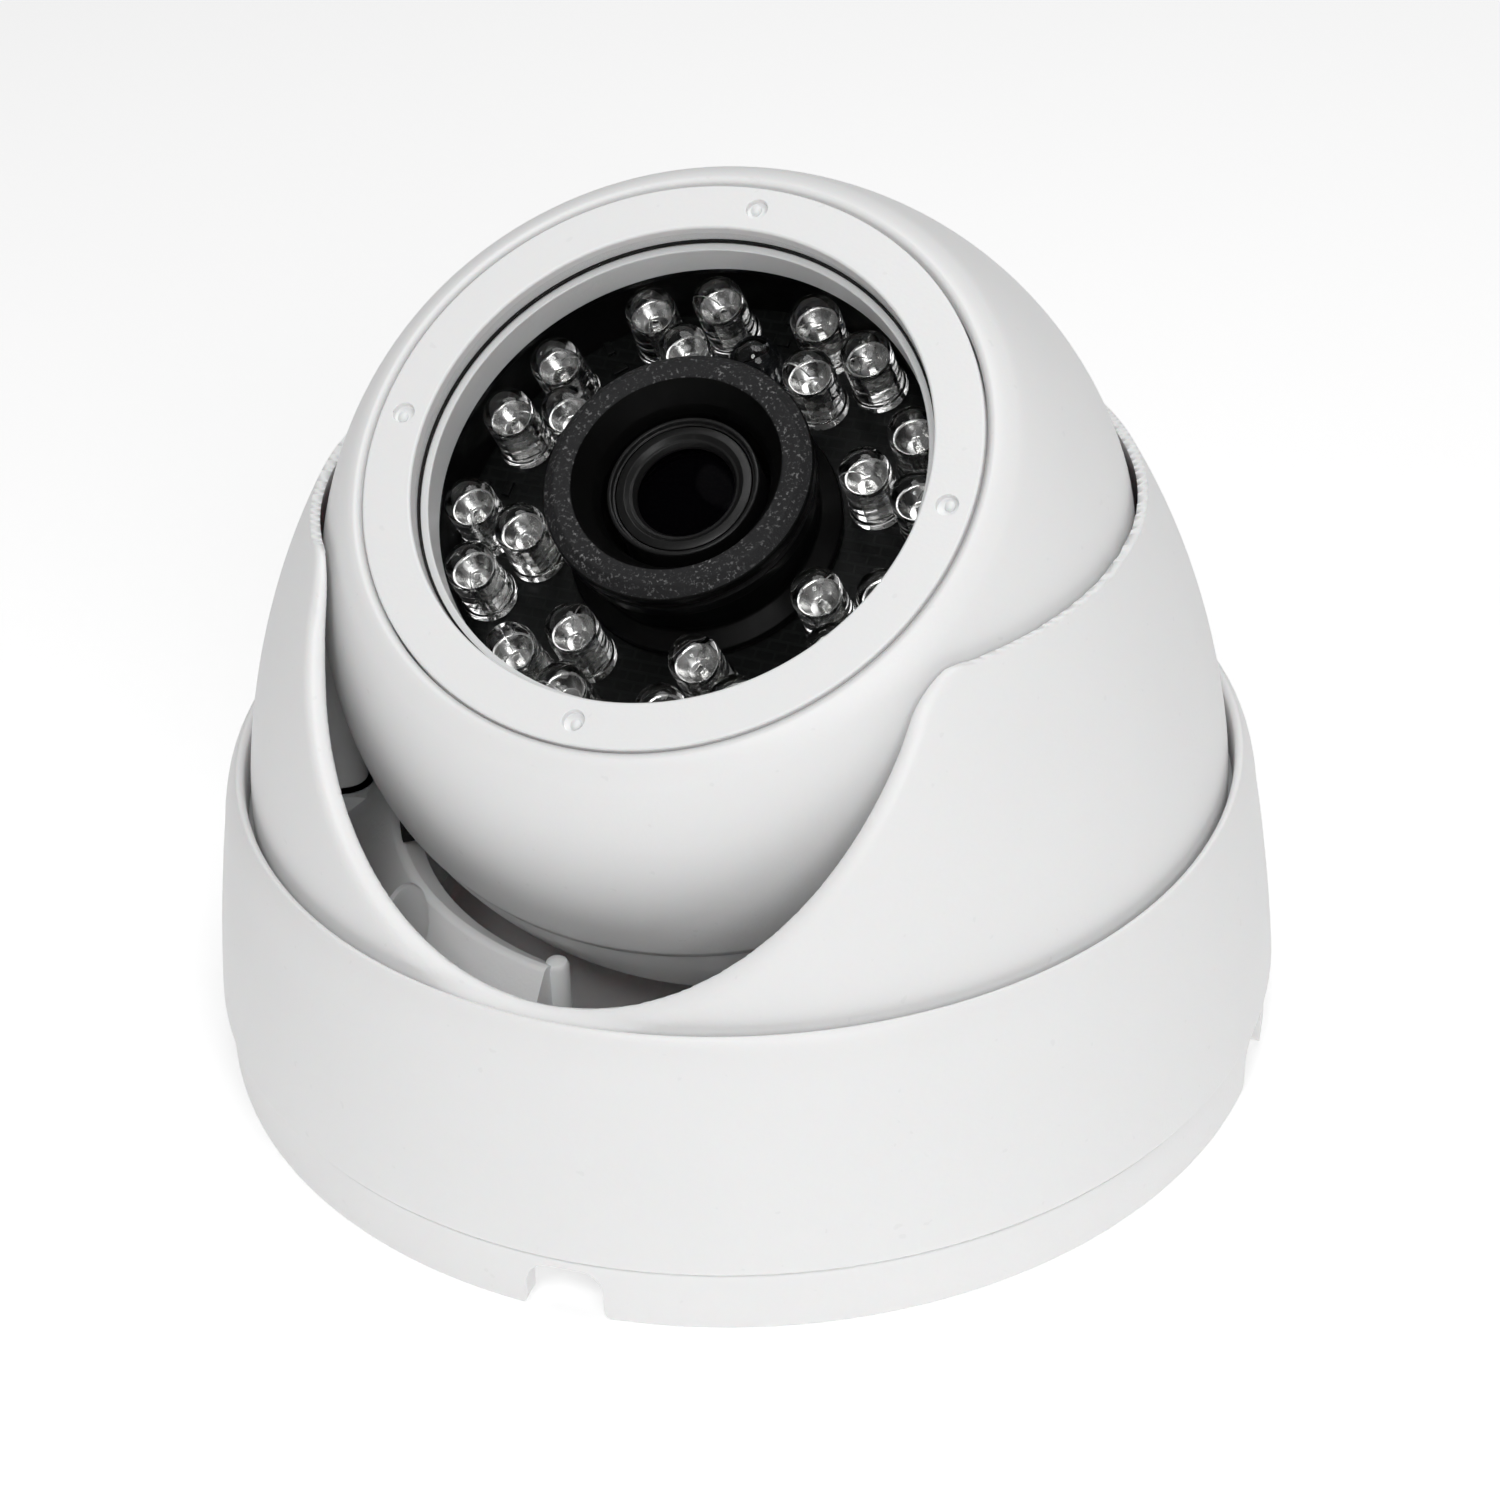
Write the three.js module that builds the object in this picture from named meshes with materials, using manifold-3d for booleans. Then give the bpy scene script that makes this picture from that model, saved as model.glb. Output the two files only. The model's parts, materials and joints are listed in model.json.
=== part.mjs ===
// Turret security camera: a round base, a turning collar and a ball head with a lens and infrared lamps.
// Millimetres, +Z up, origin at the middle of the base's underside, the head facing -Y.
import * as THREE from "three";
import { mergeVertices } from "three/addons/utils/BufferGeometryUtils.js";
import Module from "manifold-3d";

const wasm = await Module();
wasm.setup();

// ---------------------------------------------------------------- driving sizes

// clearances
const gap = 0.3; // between pieces that are fixed to each other
const slip = 0.4; // between pieces that turn on each other
const threadSlip = 0.15;
const overcut = 5; // how far a cutter passes the face that it cuts

// ball head
const ballRadius = 40;
const ballFloorGap = 0.3; // from the base's track to the ball's lowest point
const lensElevation = 56.7; // degrees that the lens looks up from the wall at rest
const faceBorder = 1.94; // from the bezel to the edge of the flat front face
const faceEdge = 1.6;
const headWall = 2.3;
const rearShellInset = 0.2;
const seamDistance = 1.0; // from the ball's middle to the seam of its two shells
const tongueRise = 2.4;
const sealThick = 1;

// turret collar
const turretSpace = 9.15; // from the ball to the turret's foot, sideways
const turretWaistSpace = 7.2;
const turretWaistDrop = 1;
const turretWall = 2.2;
const turretFlange = 0.9;
const turretFlangeHeight = 2.2;
const collarRise = 11.6; // from the ball's middle to the collar's top
const collarReach = 13;
const collarEdge = 0.97;
const openingRadius = 29.4;
const openingCorner = 4;

// base cover
const coverHeight = 31.6;
const coverBulge = 0.45;
const coverDraft = 2.3; // that the foot is wider than the shoulder
const coverShoulderSpace = 2.9; // from the turret's foot to the shoulder
const coverShoulderDrop = 5.6;
const coverRimSpace = 1.15;
const coverRimDrop = 1.6; // from the rim down to where the turret's outline starts
const coverWall = 1.6;
const coverTongue = 1.5;

// base plate
const plateStep = 0.45; // that the cover stands out past the plate
const plateHeight = 6.9;
const plateWall = 2.2;
const plateClearBelow = 4.6;
const plateFloor = 2.0;
const baseTurn = 4; // degrees that the notches are turned from the head's front
const cableHoleRadius = 9;
const notchCount = 4;
const notchWidth = 7.6;
const notchHeight = 5.7;
const notchCorner = 2.2;
const wallScrewSpace = 5.6; // from the ball ring's track out to the screw slots
const wallScrewCount = 3;
const wallScrewSlotWidth = 4.2;
const wallScrewSlotLength = 9;
const trackHeight = 2.1;

// lens
const lensThreadRadius = 6;
const lensHeadStep = 1.35;
const lensHeadLength = 6;
const lensDepth = 5.4; // from the front face to the lens's front
const lensPocketDepth = 4.8;
const lensStop = 3;
const retainerInset = 0.75;
const retainerWidth = 1.9;
const retainerThick = 0.9;
const lockRingWidth = 1.2;
const lockRingThick = 1.4;
const holderWall = 1.5;
const holderRoof = 1.4;
const holderRise = 0.6; // of the holder's tube above the lamp board
const boardStack = 9.4; // from the lamp board down to the image board
const imageBoardSize = 36;
const chipSize = 8;
const chipThick = 0.9;
const spacerOffset = 14.5;
const spacerRadius = 2.4;

// lens hood
const hoodSlip = 0.85;
const hoodFlare = 2;
const hoodWall = 2.8;
const hoodFootStep = 0.5;
const hoodFrontGap = 0.7; // between the hood's front and the window

// lamp board and lamps
const boardDepth = 14.8; // from the front face to the lamp board
const boardThick = 1.6;
const boardHoleSpace = 2;
const boardBorder = 1.65; // that the board reaches past the window
const lampRadius = 2.5;
const lampFlangeStep = 0.25;
const lampFlangeHeight = 1;
const lampLength = 8.6;
const lampGroups = 8; // each of two outer lamps and one inner lamp
const lampSpace = 0.45;
const lampHalfAngle = 9.2;
const lampPhase = 20.2;
const sensorLength = 6.6;
const shroudWall = 1.2;

// bezel ring and window
const windowSpace = 0.55; // from the outer lamps to the window's edge
const bezelLand = 4.75;
const bezelThick = 3.1;
const bezelSkirt = 1.8;
const bezelSkirtDepth = 6;
const bezelLedge = 0.95;
const dimpleRadius = 1.1;
const dimpleDepth = 0.7;
const dimpleCount = 4;
const windowRecess = 0.4;
const windowThick = 1.5;
const gasketThick = 0.4;
const contact = 0.1; // between flat faces that rest on each other

// ball ring, pads and screws
const ringInset = 4.6; // from the ball's side in to the ring
const ringWall = 2.8;
const ringDrop = 24.4; // from the ball's middle down to the ring's top
const ringFlare = 3.4; // how far the ring's skirt spreads below its top
const ringSkirt = 5.6;
const ringGapHalf = 14.5; // degrees
const ringGapTurn = 4.5;
const ringBridge = 5;
const ringTailHalf = 13; // degrees that the tail's slot takes at the back
const lugSpace = 6.55; // from the turret's foot in to the lugs' screws
const lugRadius = 3.4;
const lugThick = 2.2;
const lugTop = 21;
const lugAngles = [80, -80, 150];
const bossRadius = 2.5;
const bossWeb = 1.6;
const screwHead = 2.5;
const screwHeadHeight = 1.5;
const screwShank = 1.1;
const screwSlot = 0.6;
const ringScrewLength = 8;
const padAngles = [-58, 58, -130];
const padHalf = 5; // degrees
const padRise = 2.6;
const headScrewSpace = 1.5; // from the lamp board's edge out to the screws
const headScrewSeat = 24;
const headScrewLength = 26;
const headScrewAngles = [30, 150, 270];

// cable passages
const bootRadius = 4;
const bootFlange = 5.4;
const bootFlangeThick = 1.4;
const bootProud = 1.0;
const bootBore = 2.4;
const grommetBore = 4.5;
const grommetLip = 1.6;
const grommetLipThick = 0.8;

// roundness
const shellSides = 40;
const ringSides = 32;
const smallSides = 16;
const lensSides = 24;
const lampSides = 8;
const screwSides = 8;

// ---------------------------------------------------------------- sizes that follow

const floorTop = plateClearBelow + plateFloor;
const trackTop = floorTop + trackHeight;
const ballHeight = trackTop + ballFloorGap + ballRadius;
const seatRadius = ballRadius + slip;
const ringRadius = ballRadius - ringInset;
const ringInner = ringRadius - ringWall;
const ringTop = ballHeight - ringDrop;
const wallScrewRadius = ringRadius + wallScrewSpace;

const turretFootRadius = ballRadius + turretSpace;
const turretFootHeight = coverHeight - coverRimDrop;
const turretWaist = [ballRadius + turretWaistSpace, ballHeight - turretWaistDrop];
const turretApex = [Math.sqrt(ballRadius ** 2 - collarReach ** 2) + collarEdge, ballHeight + collarReach];
const turretTop = ballHeight + collarRise;
const lugCircle = turretFootRadius - lugSpace;

const coverShoulderRadius = turretFootRadius + coverShoulderSpace;
const coverShoulderHeight = coverHeight - coverShoulderDrop;
const coverFootRadius = coverShoulderRadius + coverDraft;
const coverRimRadius = turretFootRadius + coverRimSpace;
const plateFootRadius = coverFootRadius - plateStep;
const skirtInner = plateFootRadius - plateWall;

const lensHeadRadius = lensThreadRadius + lensHeadStep;
const retainerRadius = lensHeadRadius - retainerInset;
const hoodThroat = lensHeadRadius + hoodSlip;
const hoodMouth = hoodThroat + hoodFlare;
const hoodRadius = hoodMouth + hoodWall;
const hoodFoot = hoodRadius + hoodFootStep;
const lampFlange = lampRadius + lampFlangeStep;
const lampInnerCircle = hoodFoot + lampSpace + lampFlange;
const lampOuterCircle = lampInnerCircle + 2 * lampFlange - 0.4;
const bezelBore = lampOuterCircle + lampRadius + windowSpace;
const bezelRadius = bezelBore + bezelLand;
const faceRadius = bezelRadius + faceBorder;
const faceDistance = Math.sqrt(ballRadius ** 2 - faceRadius ** 2);

// ---------------------------------------------------------------- shape helpers

const radians = THREE.MathUtils.degToRad;

function solid(geometry) {
  const plain = new THREE.BufferGeometry();
  plain.setAttribute("position", geometry.getAttribute("position"));
  plain.setIndex(geometry.index);
  const merged = mergeVertices(plain, 1e-4);
  return new wasm.Manifold(
    new wasm.Mesh({
      numProp: 3,
      vertProperties: new Float32Array(merged.attributes.position.array),
      triVerts: new Uint32Array(merged.index.array),
    }),
  );
}

function geometryOf(manifold) {
  const mesh = manifold.getMesh();
  const positions = new Float32Array(mesh.numVert * 3);
  for (let i = 0; i < mesh.numVert; i++) {
    positions.set(mesh.vertProperties.subarray(i * mesh.numProp, i * mesh.numProp + 3), i * 3);
  }
  const geometry = new THREE.BufferGeometry();
  geometry.setAttribute("position", new THREE.BufferAttribute(positions, 3));
  geometry.setIndex(new THREE.BufferAttribute(new Uint32Array(mesh.triVerts), 1));
  return geometry;
}

// A solid turned round Z from [radius, height] points that close on themselves or end on the axis.
function turned(points, sides = shellSides) {
  let area = 0;
  points.forEach(([r, z], i) => {
    const [nextR, nextZ] = points[(i + 1) % points.length];
    area += r * nextZ - nextR * z;
  });
  const outline = (area > 0 ? points : [...points].reverse()).map(([r, z]) => new THREE.Vector2(r, z));
  const onAxis = points.some(([r]) => r === 0);
  if (onAxis) {
    while (outline[0].x !== 0 || outline[outline.length - 1].x !== 0) outline.push(outline.shift());
  } else {
    outline.push(outline[0].clone());
  }
  return solid(new THREE.LatheGeometry(outline, sides).rotateX(Math.PI / 2));
}

function tube(inner, outer, low, high, sides = ringSides) {
  return turned([[inner, low], [outer, low], [outer, high], [inner, high]], sides);
}

function rod(radius, low, high, x = 0, y = 0, sides = smallSides) {
  const geometry = new THREE.CylinderGeometry(radius, radius, high - low, sides);
  return solid(geometry.rotateX(Math.PI / 2).translate(x, y, (low + high) / 2));
}

function block(width, depth, low, high, x = 0, y = 0) {
  return solid(new THREE.BoxGeometry(width, depth, high - low).translate(x, y, (low + high) / 2));
}

function ball(radius, z = 0) {
  const geometry = new THREE.SphereGeometry(radius, shellSides, shellSides / 2);
  return solid(geometry.rotateX(Math.PI / 2).translate(0, 0, z));
}

// A shape drawn in X and Z, extruded from y = near to y = far.
function slab(shape, near, far, curveSteps = 16) {
  const geometry = new THREE.ExtrudeGeometry(shape, {
    depth: far - near,
    bevelEnabled: false,
    curveSegments: curveSteps,
  });
  return solid(geometry.rotateX(Math.PI / 2).translate(0, far, 0));
}

function arc(centreR, centreZ, radius, from, to, steps) {
  const points = [];
  for (let i = 0; i <= steps; i++) {
    const angle = radians(from + ((to - from) * i) / steps);
    points.push([centreR + radius * Math.cos(angle), centreZ + radius * Math.sin(angle)]);
  }
  return points;
}

function bend(start, control, end, steps) {
  const curve = new THREE.QuadraticBezierCurve(
    new THREE.Vector2(...start),
    new THREE.Vector2(...control),
    new THREE.Vector2(...end),
  );
  return curve.getPoints(steps).map((point) => [point.x, point.y]);
}

// A point on a circle round Z, with 0 degrees at the front and positive angles towards +X.
function around(radius, degrees) {
  return [radius * Math.sin(radians(degrees)), -radius * Math.cos(radians(degrees))];
}

function spun(manifold, degrees) {
  return manifold.rotate([0, 0, degrees]);
}

// A wedge of the space round Z, centred on the front and turned by some degrees.
function wedge(halfAngle, turn, low, high, reach) {
  const shape = new THREE.Shape();
  shape.moveTo(0, 0);
  shape.lineTo(...around(reach, turn - halfAngle));
  shape.lineTo(...around(reach / Math.cos(radians(halfAngle)), turn));
  shape.lineTo(...around(reach, turn + halfAngle));
  shape.closePath();
  const geometry = new THREE.ExtrudeGeometry(shape, { depth: high - low, bevelEnabled: false });
  return solid(geometry.translate(0, 0, low));
}

// ---------------------------------------------------------------- finishes

const finishes = {
  whiteShell: [0xeeeeec, 0.42, 0],
  whiteInner: [0xe4e4e2, 0.55, 0],
  blackPlastic: [0x0b0b0c, 0.6, 0],
  blackFoam: [0x1d1d1e, 0.95, 0],
  rubber: [0x151515, 0.85, 0],
  circuitBoard: [0x0c0f0e, 0.5, 0],
  lampEpoxy: [0xdfe4e6, 0.08, 0],
  sensorEpoxy: [0x1c1e22, 0.12, 0],
  windowGlass: [0xf2f6f7, 0.03, 0],
  lensGlass: [0x1b1424, 0.03, 0],
  lensMetal: [0x161617, 0.45, 0.6],
  chipCeramic: [0x24262a, 0.3, 0],
  steel: [0xb9bbbe, 0.3, 1],
  brass: [0xb8935a, 0.35, 1],
};

const camera = new THREE.Group();
const base = new THREE.Group();
const turret = new THREE.Group();
const head = new THREE.Group();
head.position.z = ballHeight;
head.rotation.x = radians(90 - lensElevation);
camera.add(base, turret, head);

function add(group, name, manifold, finish) {
  const [color, roughness, metalness] = finishes[finish];
  const material = new THREE.MeshStandardMaterial({ color, roughness, metalness });
  const mesh = new THREE.Mesh(geometryOf(manifold), material);
  mesh.name = name;
  group.add(mesh);
}

// ---------------------------------------------------------------- base

function notchCutter() {
  const half = notchWidth / 2;
  const shape = new THREE.Shape();
  shape.moveTo(-half - notchCorner, -overcut);
  shape.lineTo(half + notchCorner, -overcut);
  shape.lineTo(half + notchCorner, 0);
  shape.quadraticCurveTo(half, 0, half, notchCorner / 2);
  shape.lineTo(half, notchHeight - notchCorner);
  shape.quadraticCurveTo(half, notchHeight, half - notchCorner, notchHeight);
  shape.lineTo(-half + notchCorner, notchHeight);
  shape.quadraticCurveTo(-half, notchHeight, -half, notchHeight - notchCorner);
  shape.lineTo(-half, notchCorner / 2);
  shape.quadraticCurveTo(-half, 0, -half - notchCorner, 0);
  shape.closePath();
  return slab(shape, -plateFootRadius - overcut, -skirtInner + gap, 3);
}

function wallScrewSlot() {
  const half = wallScrewSlotWidth / 2;
  const reach = (wallScrewSlotLength - wallScrewSlotWidth) / 2;
  const low = plateClearBelow - overcut / 2;
  const high = floorTop + overcut / 2;
  return rod(half, low, high, -reach, -wallScrewRadius)
    .add(rod(half, low, high, reach, -wallScrewRadius))
    .add(block(2 * reach, wallScrewSlotWidth, low, high, 0, -wallScrewRadius));
}

function basePlate() {
  const top = plateHeight - gap / 2;
  let plate = turned([
    [cableHoleRadius, plateClearBelow],
    [skirtInner, plateClearBelow],
    [skirtInner, 0],
    [plateFootRadius, 0],
    [plateFootRadius + 0.1, top],
    [skirtInner, top],
    [skirtInner, floorTop],
    [ringRadius, floorTop],
    [ringRadius, trackTop],
    [ringInner, trackTop],
    [ringInner, floorTop],
    [cableHoleRadius, floorTop],
  ]);
  for (let i = 0; i < notchCount; i++) {
    plate = plate.subtract(spun(notchCutter(), baseTurn + (i * 360) / notchCount));
  }
  for (let i = 0; i < wallScrewCount; i++) {
    plate = plate.subtract(spun(wallScrewSlot(), baseTurn + ((i + 0.5) * 360) / wallScrewCount));
  }
  return plate;
}

const lipRadius = turretFootRadius + slip;
const flangeRadius = turretFootRadius + turretFlange;
const flangeTop = coverShoulderHeight + 0.6;
const lipBottom = flangeTop + slip;

function coverShell() {
  const foot = plateHeight + gap / 2;
  const innerFoot = coverFootRadius - coverWall;
  const tongueOuter = skirtInner - gap;
  const middleRadius = (coverFootRadius + coverShoulderRadius) / 2;
  const middleHeight = (foot + coverShoulderHeight) / 2;
  return turned([
    ...bend(
      [coverFootRadius, foot],
      [middleRadius + coverBulge, middleHeight],
      [coverShoulderRadius, coverShoulderHeight],
      4,
    ),
    ...bend(
      [coverShoulderRadius, coverShoulderHeight],
      [coverShoulderRadius - 0.45, coverHeight - 1.2],
      [coverRimRadius, coverHeight],
      4,
    ).slice(1),
    ...bend(
      [coverRimRadius, coverHeight],
      [lipRadius, coverHeight],
      [lipRadius, turretFootHeight],
      2,
    ).slice(1),
    [lipRadius, lipBottom],
    [flangeRadius + slip, lipBottom],
    [flangeRadius + slip, lipBottom - turretFlangeHeight - 2 * slip],
    [innerFoot, foot + 3],
    [tongueOuter - coverTongue, foot],
    [tongueOuter - coverTongue, floorTop + gap],
    [tongueOuter, floorTop + gap],
    [tongueOuter, foot],
  ]);
}

function cableGrommet() {
  const low = plateClearBelow - gap - grommetLipThick;
  const high = floorTop + gap + grommetLipThick;
  const waist = cableHoleRadius - gap;
  const lip = cableHoleRadius + grommetLip;
  return turned(
    [
      [grommetBore, low],
      [lip, low],
      [lip, plateClearBelow - gap],
      [waist, plateClearBelow - gap],
      [waist, floorTop + gap],
      [lip, floorTop + gap],
      [lip - grommetLipThick / 2, high],
      [grommetBore, high],
    ],
    ringSides,
  );
}

add(base, "base_plate", basePlate(), "whiteShell");
add(base, "base_cover", coverShell(), "whiteShell");
add(base, "cable_grommet", cableGrommet(), "rubber");

// ---------------------------------------------------------------- turret, ball ring and pads

const turretBottom = flangeTop - turretFlangeHeight;

function openingCutter() {
  const cornerTop = turretTop - gap;
  const cornerEdge = openingRadius + openingCorner;
  const far = turretFootRadius + overcut;
  const shape = new THREE.Shape();
  shape.moveTo(-openingRadius, cornerTop - openingCorner);
  shape.quadraticCurveTo(-openingRadius, cornerTop, -cornerEdge, cornerTop);
  shape.lineTo(-far, cornerTop);
  shape.lineTo(-far, cornerTop + overcut);
  shape.lineTo(far, cornerTop + overcut);
  shape.lineTo(far, cornerTop);
  shape.lineTo(cornerEdge, cornerTop);
  shape.quadraticCurveTo(openingRadius, cornerTop, openingRadius, cornerTop - openingCorner);
  const start = Math.asin(openingCorner / openingRadius);
  shape.absarc(0, cornerTop, openingRadius, -start, -Math.PI + start, true);
  shape.closePath();
  return slab(shape, -turretFootRadius - overcut, 0, 18);
}

function turretShell() {
  const innerFoot = turretFootRadius - turretWall;
  const outer = bend([turretFootRadius, turretFootHeight], turretWaist, turretApex, 9);
  const inner = bend(
    [innerFoot, turretFootHeight],
    [turretWaist[0] - turretWall, turretWaist[1] - 1],
    [turretApex[0] - turretWall - 0.6, turretApex[1] - 1],
    6,
  );
  const lining = turned([
    [flangeRadius, turretBottom],
    [flangeRadius, flangeTop],
    [turretFootRadius, flangeTop],
    ...outer,
    ...inner.reverse(),
    [innerFoot, turretBottom],
  ]);
  const envelope = turned([
    [0, lugTop + gap],
    [turretFootRadius - turretWall, lugTop + gap],
    [turretFootRadius - turretWall / 2, turretBottom],
    ...outer,
    [0, turretApex[1]],
  ]);
  let shell = lining;
  for (const angle of lugAngles) {
    const [x, y] = around(lugCircle, angle);
    const boss = rod(bossRadius, lugTop + gap, turretWaist[1], x, y);
    const reach = turretFootRadius - lugCircle;
    const web = block(bossWeb, reach, lugTop + gap, turretWaist[1], 0, -lugCircle - reach / 2);
    shell = shell
      .add(boss.add(spun(web, angle)).intersect(envelope))
      .subtract(rod(screwShank + gap, 0, lugTop + ringScrewLength, x, y, screwSides));
  }
  return shell
    .subtract(ball(seatRadius, ballHeight))
    .subtract(openingCutter())
    .subtract(block(4 * turretFootRadius, 4 * turretFootRadius, turretTop, turretApex[1] + overcut));
}

const ringLow = trackTop + gap;

function ballRing() {
  const skirtFoot = ringTop - ringSkirt;
  let ring = turned([
    [ringInner, ringLow],
    [ringRadius, ringLow],
    [ringRadius, skirtFoot - ringFlare],
    [ringRadius + ringFlare, skirtFoot],
    [ringRadius, ringTop],
    [ringInner, ringTop],
  ]);
  for (const angle of lugAngles) {
    const [x, y] = around(lugCircle, angle);
    const reach = lugCircle - ringInner - 1;
    const arm = block(2 * lugRadius, reach, lugTop - lugThick, lugTop, 0, -lugCircle + reach / 2);
    ring = ring
      .add(spun(arm, angle))
      .add(rod(lugRadius, lugTop - lugThick, lugTop, x, y))
      .subtract(rod(screwShank + gap, 0, lugTop + overcut, x, y, screwSides));
  }
  const openFrom = ringLow + ringBridge;
  return ring
    .subtract(wedge(ringGapHalf, ringGapTurn, openFrom, ringTop + overcut, 2 * ringRadius))
    .subtract(wedge(ringTailHalf, 180, openFrom, ringTop + overcut, 2 * ringRadius))
    .subtract(ball(seatRadius + gap, ballHeight));
}

function frictionPad(angle) {
  return tube(ringInner - 1, ringRadius - 0.6, ringTop + gap, ringTop + padRise, shellSides)
    .intersect(wedge(padHalf, angle, ringTop, ringTop + padRise + overcut, 2 * ringRadius))
    .subtract(ball(seatRadius, ballHeight));
}

// A cross-recessed screw that points up, with the underside of its head at the seat.
function screw(seat, length, x, y) {
  const dome = screwHeadHeight * 0.75;
  const top = seat - screwHeadHeight;
  const plain = turned(
    [
      [0, top],
      [screwHead - 0.6, top],
      [screwHead, top + dome],
      [screwHead, seat],
      [screwShank, seat],
      [screwShank, seat + length - 0.8],
      [0.3, seat + length],
      [0, seat + length],
    ],
    screwSides,
  );
  return plain
    .subtract(block(screwSlot, screwHead, top - overcut, top + dome / 2))
    .subtract(block(screwHead, screwSlot, top - overcut, top + dome / 2))
    .translate([x, y, 0]);
}

add(turret, "turret", turretShell(), "whiteShell");
add(turret, "ball_ring", ballRing(), "whiteInner");
lugAngles.forEach((angle, i) => {
  const [x, y] = around(lugCircle, angle);
  add(turret, `ring_screw_${i + 1}`, screw(lugTop - lugThick - gap, ringScrewLength, x, y), "steel");
});
padAngles.forEach((angle, i) => {
  add(turret, `friction_pad_${i + 1}`, frictionPad(angle), "rubber");
});

// ---------------------------------------------------------------- head shells

const ballInner = ballRadius - headWall;
const pocketFloor = faceDistance - bezelThick - gap;
const pocketRadius = bezelRadius + 0.2;
const skirtRadius = bezelBore - bezelLedge + bezelSkirt;
const shellHole = skirtRadius + gap;
const boardEdge = bezelBore + boardBorder;
const headScrewCircle = boardEdge + headScrewSpace;
const boardTop = faceDistance - boardDepth;
const boardBottom = boardTop - boardThick;
const frontBossTop = boardBottom - gap;
const tongueTop = seamDistance - gap / 2 + tongueRise;
const sealTop = tongueTop + gap + sealThick;
const insideReach = ballInner + headWall / 2; // where bosses and ribs end, within the shell's wall

function angleAt(radius, height) {
  return THREE.MathUtils.radToDeg(Math.asin(height / radius));
}

const headBossRadius = bossRadius + 0.6;

function frontShell() {
  const seam = seamDistance + gap / 2;
  const edgeAngle = angleAt(ballRadius, faceDistance - faceEdge);
  const ledge = pocketFloor - headWall;
  const shell = turned([
    ...arc(0, 0, ballRadius, angleAt(ballRadius, seam), edgeAngle, 7),
    ...bend(
      [Math.sqrt(ballRadius ** 2 - (faceDistance - faceEdge) ** 2), faceDistance - faceEdge],
      [faceRadius - 0.1, faceDistance - 0.1],
      [pocketRadius + 0.5, faceDistance],
      3,
    ).slice(1),
    [pocketRadius, faceDistance - gap],
    [pocketRadius, pocketFloor],
    [shellHole, pocketFloor],
    [shellHole, ledge],
    ...arc(0, 0, ballInner, angleAt(ballInner, ledge), angleAt(ballInner, seam), 5),
  ]);
  let bosses = shell;
  const inside = ball(insideReach).intersect(block(2 * ballRadius, 2 * ballRadius, seam, frontBossTop));
  for (const angle of headScrewAngles) {
    const [x, y] = around(headScrewCircle, angle);
    const ribLength = ballRadius - headScrewCircle;
    const ribMiddle = -headScrewCircle - ribLength / 2;
    const rib = block(bossRadius, ribLength, sealTop + gap, frontBossTop, 0, ribMiddle);
    bosses = bosses
      .add(rod(headBossRadius, seam, frontBossTop, x, y).add(spun(rib, angle)).intersect(inside))
      .subtract(rod(screwShank + gap, seam - 1, frontBossTop - 1, x, y, screwSides));
  }
  return bosses;
}

function rearShell() {
  const seam = seamDistance - gap / 2;
  const outerRadius = ballRadius - rearShellInset;
  const tongueOuter = ballInner - gap;
  const tongueInner = tongueOuter - 1.4;
  const hole = bootRadius + gap;
  const shell = turned([
    [tongueOuter, seam],
    ...arc(0, 0, outerRadius, angleAt(outerRadius, seam), -90 + angleAt(outerRadius, hole), 8),
    ...arc(0, 0, ballInner, -90 + angleAt(ballInner, hole), -8, 5),
    [tongueInner, -2],
    [tongueInner, tongueTop],
    [tongueOuter, tongueTop],
  ]);
  let bosses = shell;
  const inside = ball(insideReach).intersect(block(2 * ballRadius, 2 * ballRadius, -ballRadius, seam));
  for (const angle of headScrewAngles) {
    const [x, y] = around(headScrewCircle, angle);
    bosses = bosses
      .add(rod(headBossRadius, -ballRadius, seam, x, y).intersect(inside))
      .subtract(rod(screwHead + gap, -ballRadius - 1, -headScrewSeat, x, y))
      .subtract(rod(screwShank + gap, -ballRadius, seam + 1, x, y, screwSides));
  }
  return bosses;
}

function headSeal() {
  const outer = ballInner - gap;
  const low = tongueTop + gap;
  return turned(
    [[outer - 1.3, low], [outer - 0.3, low], [outer - 0.5, sealTop], [outer - 1.3, sealTop]],
    ringSides,
  );
}

function tailBoot() {
  const outerRadius = ballRadius - rearShellInset;
  const outside = -outerRadius - bootProud;
  const inside = -ballInner + gap + 0.4;
  return turned(
    [
      [bootBore, outside],
      [bootRadius - 0.6, outside],
      [bootRadius, outside + 0.8],
      [bootRadius, inside],
      [bootFlange, inside],
      [bootFlange, inside + bootFlangeThick],
      [bootBore, inside + bootFlangeThick],
    ],
    smallSides,
  );
}

add(head, "front_shell", frontShell(), "whiteShell");
add(head, "rear_shell", rearShell(), "whiteShell");
add(head, "head_seal", headSeal(), "rubber");
add(head, "tail_boot", tailBoot(), "rubber");
headScrewAngles.forEach((angle, i) => {
  const [x, y] = around(headScrewCircle, angle);
  add(head, `head_screw_${i + 1}`, screw(-headScrewSeat - gap, headScrewLength, x, y), "steel");
});

// ---------------------------------------------------------------- bezel ring and window

const windowTop = faceDistance - windowRecess;
const windowBottom = windowTop - windowThick;
const gasketTop = windowBottom - contact;
const ledgeTop = gasketTop - gasketThick - contact;
const ledgeBore = bezelBore - bezelLedge;
const skirtBottom = faceDistance - bezelSkirtDepth;

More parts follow.
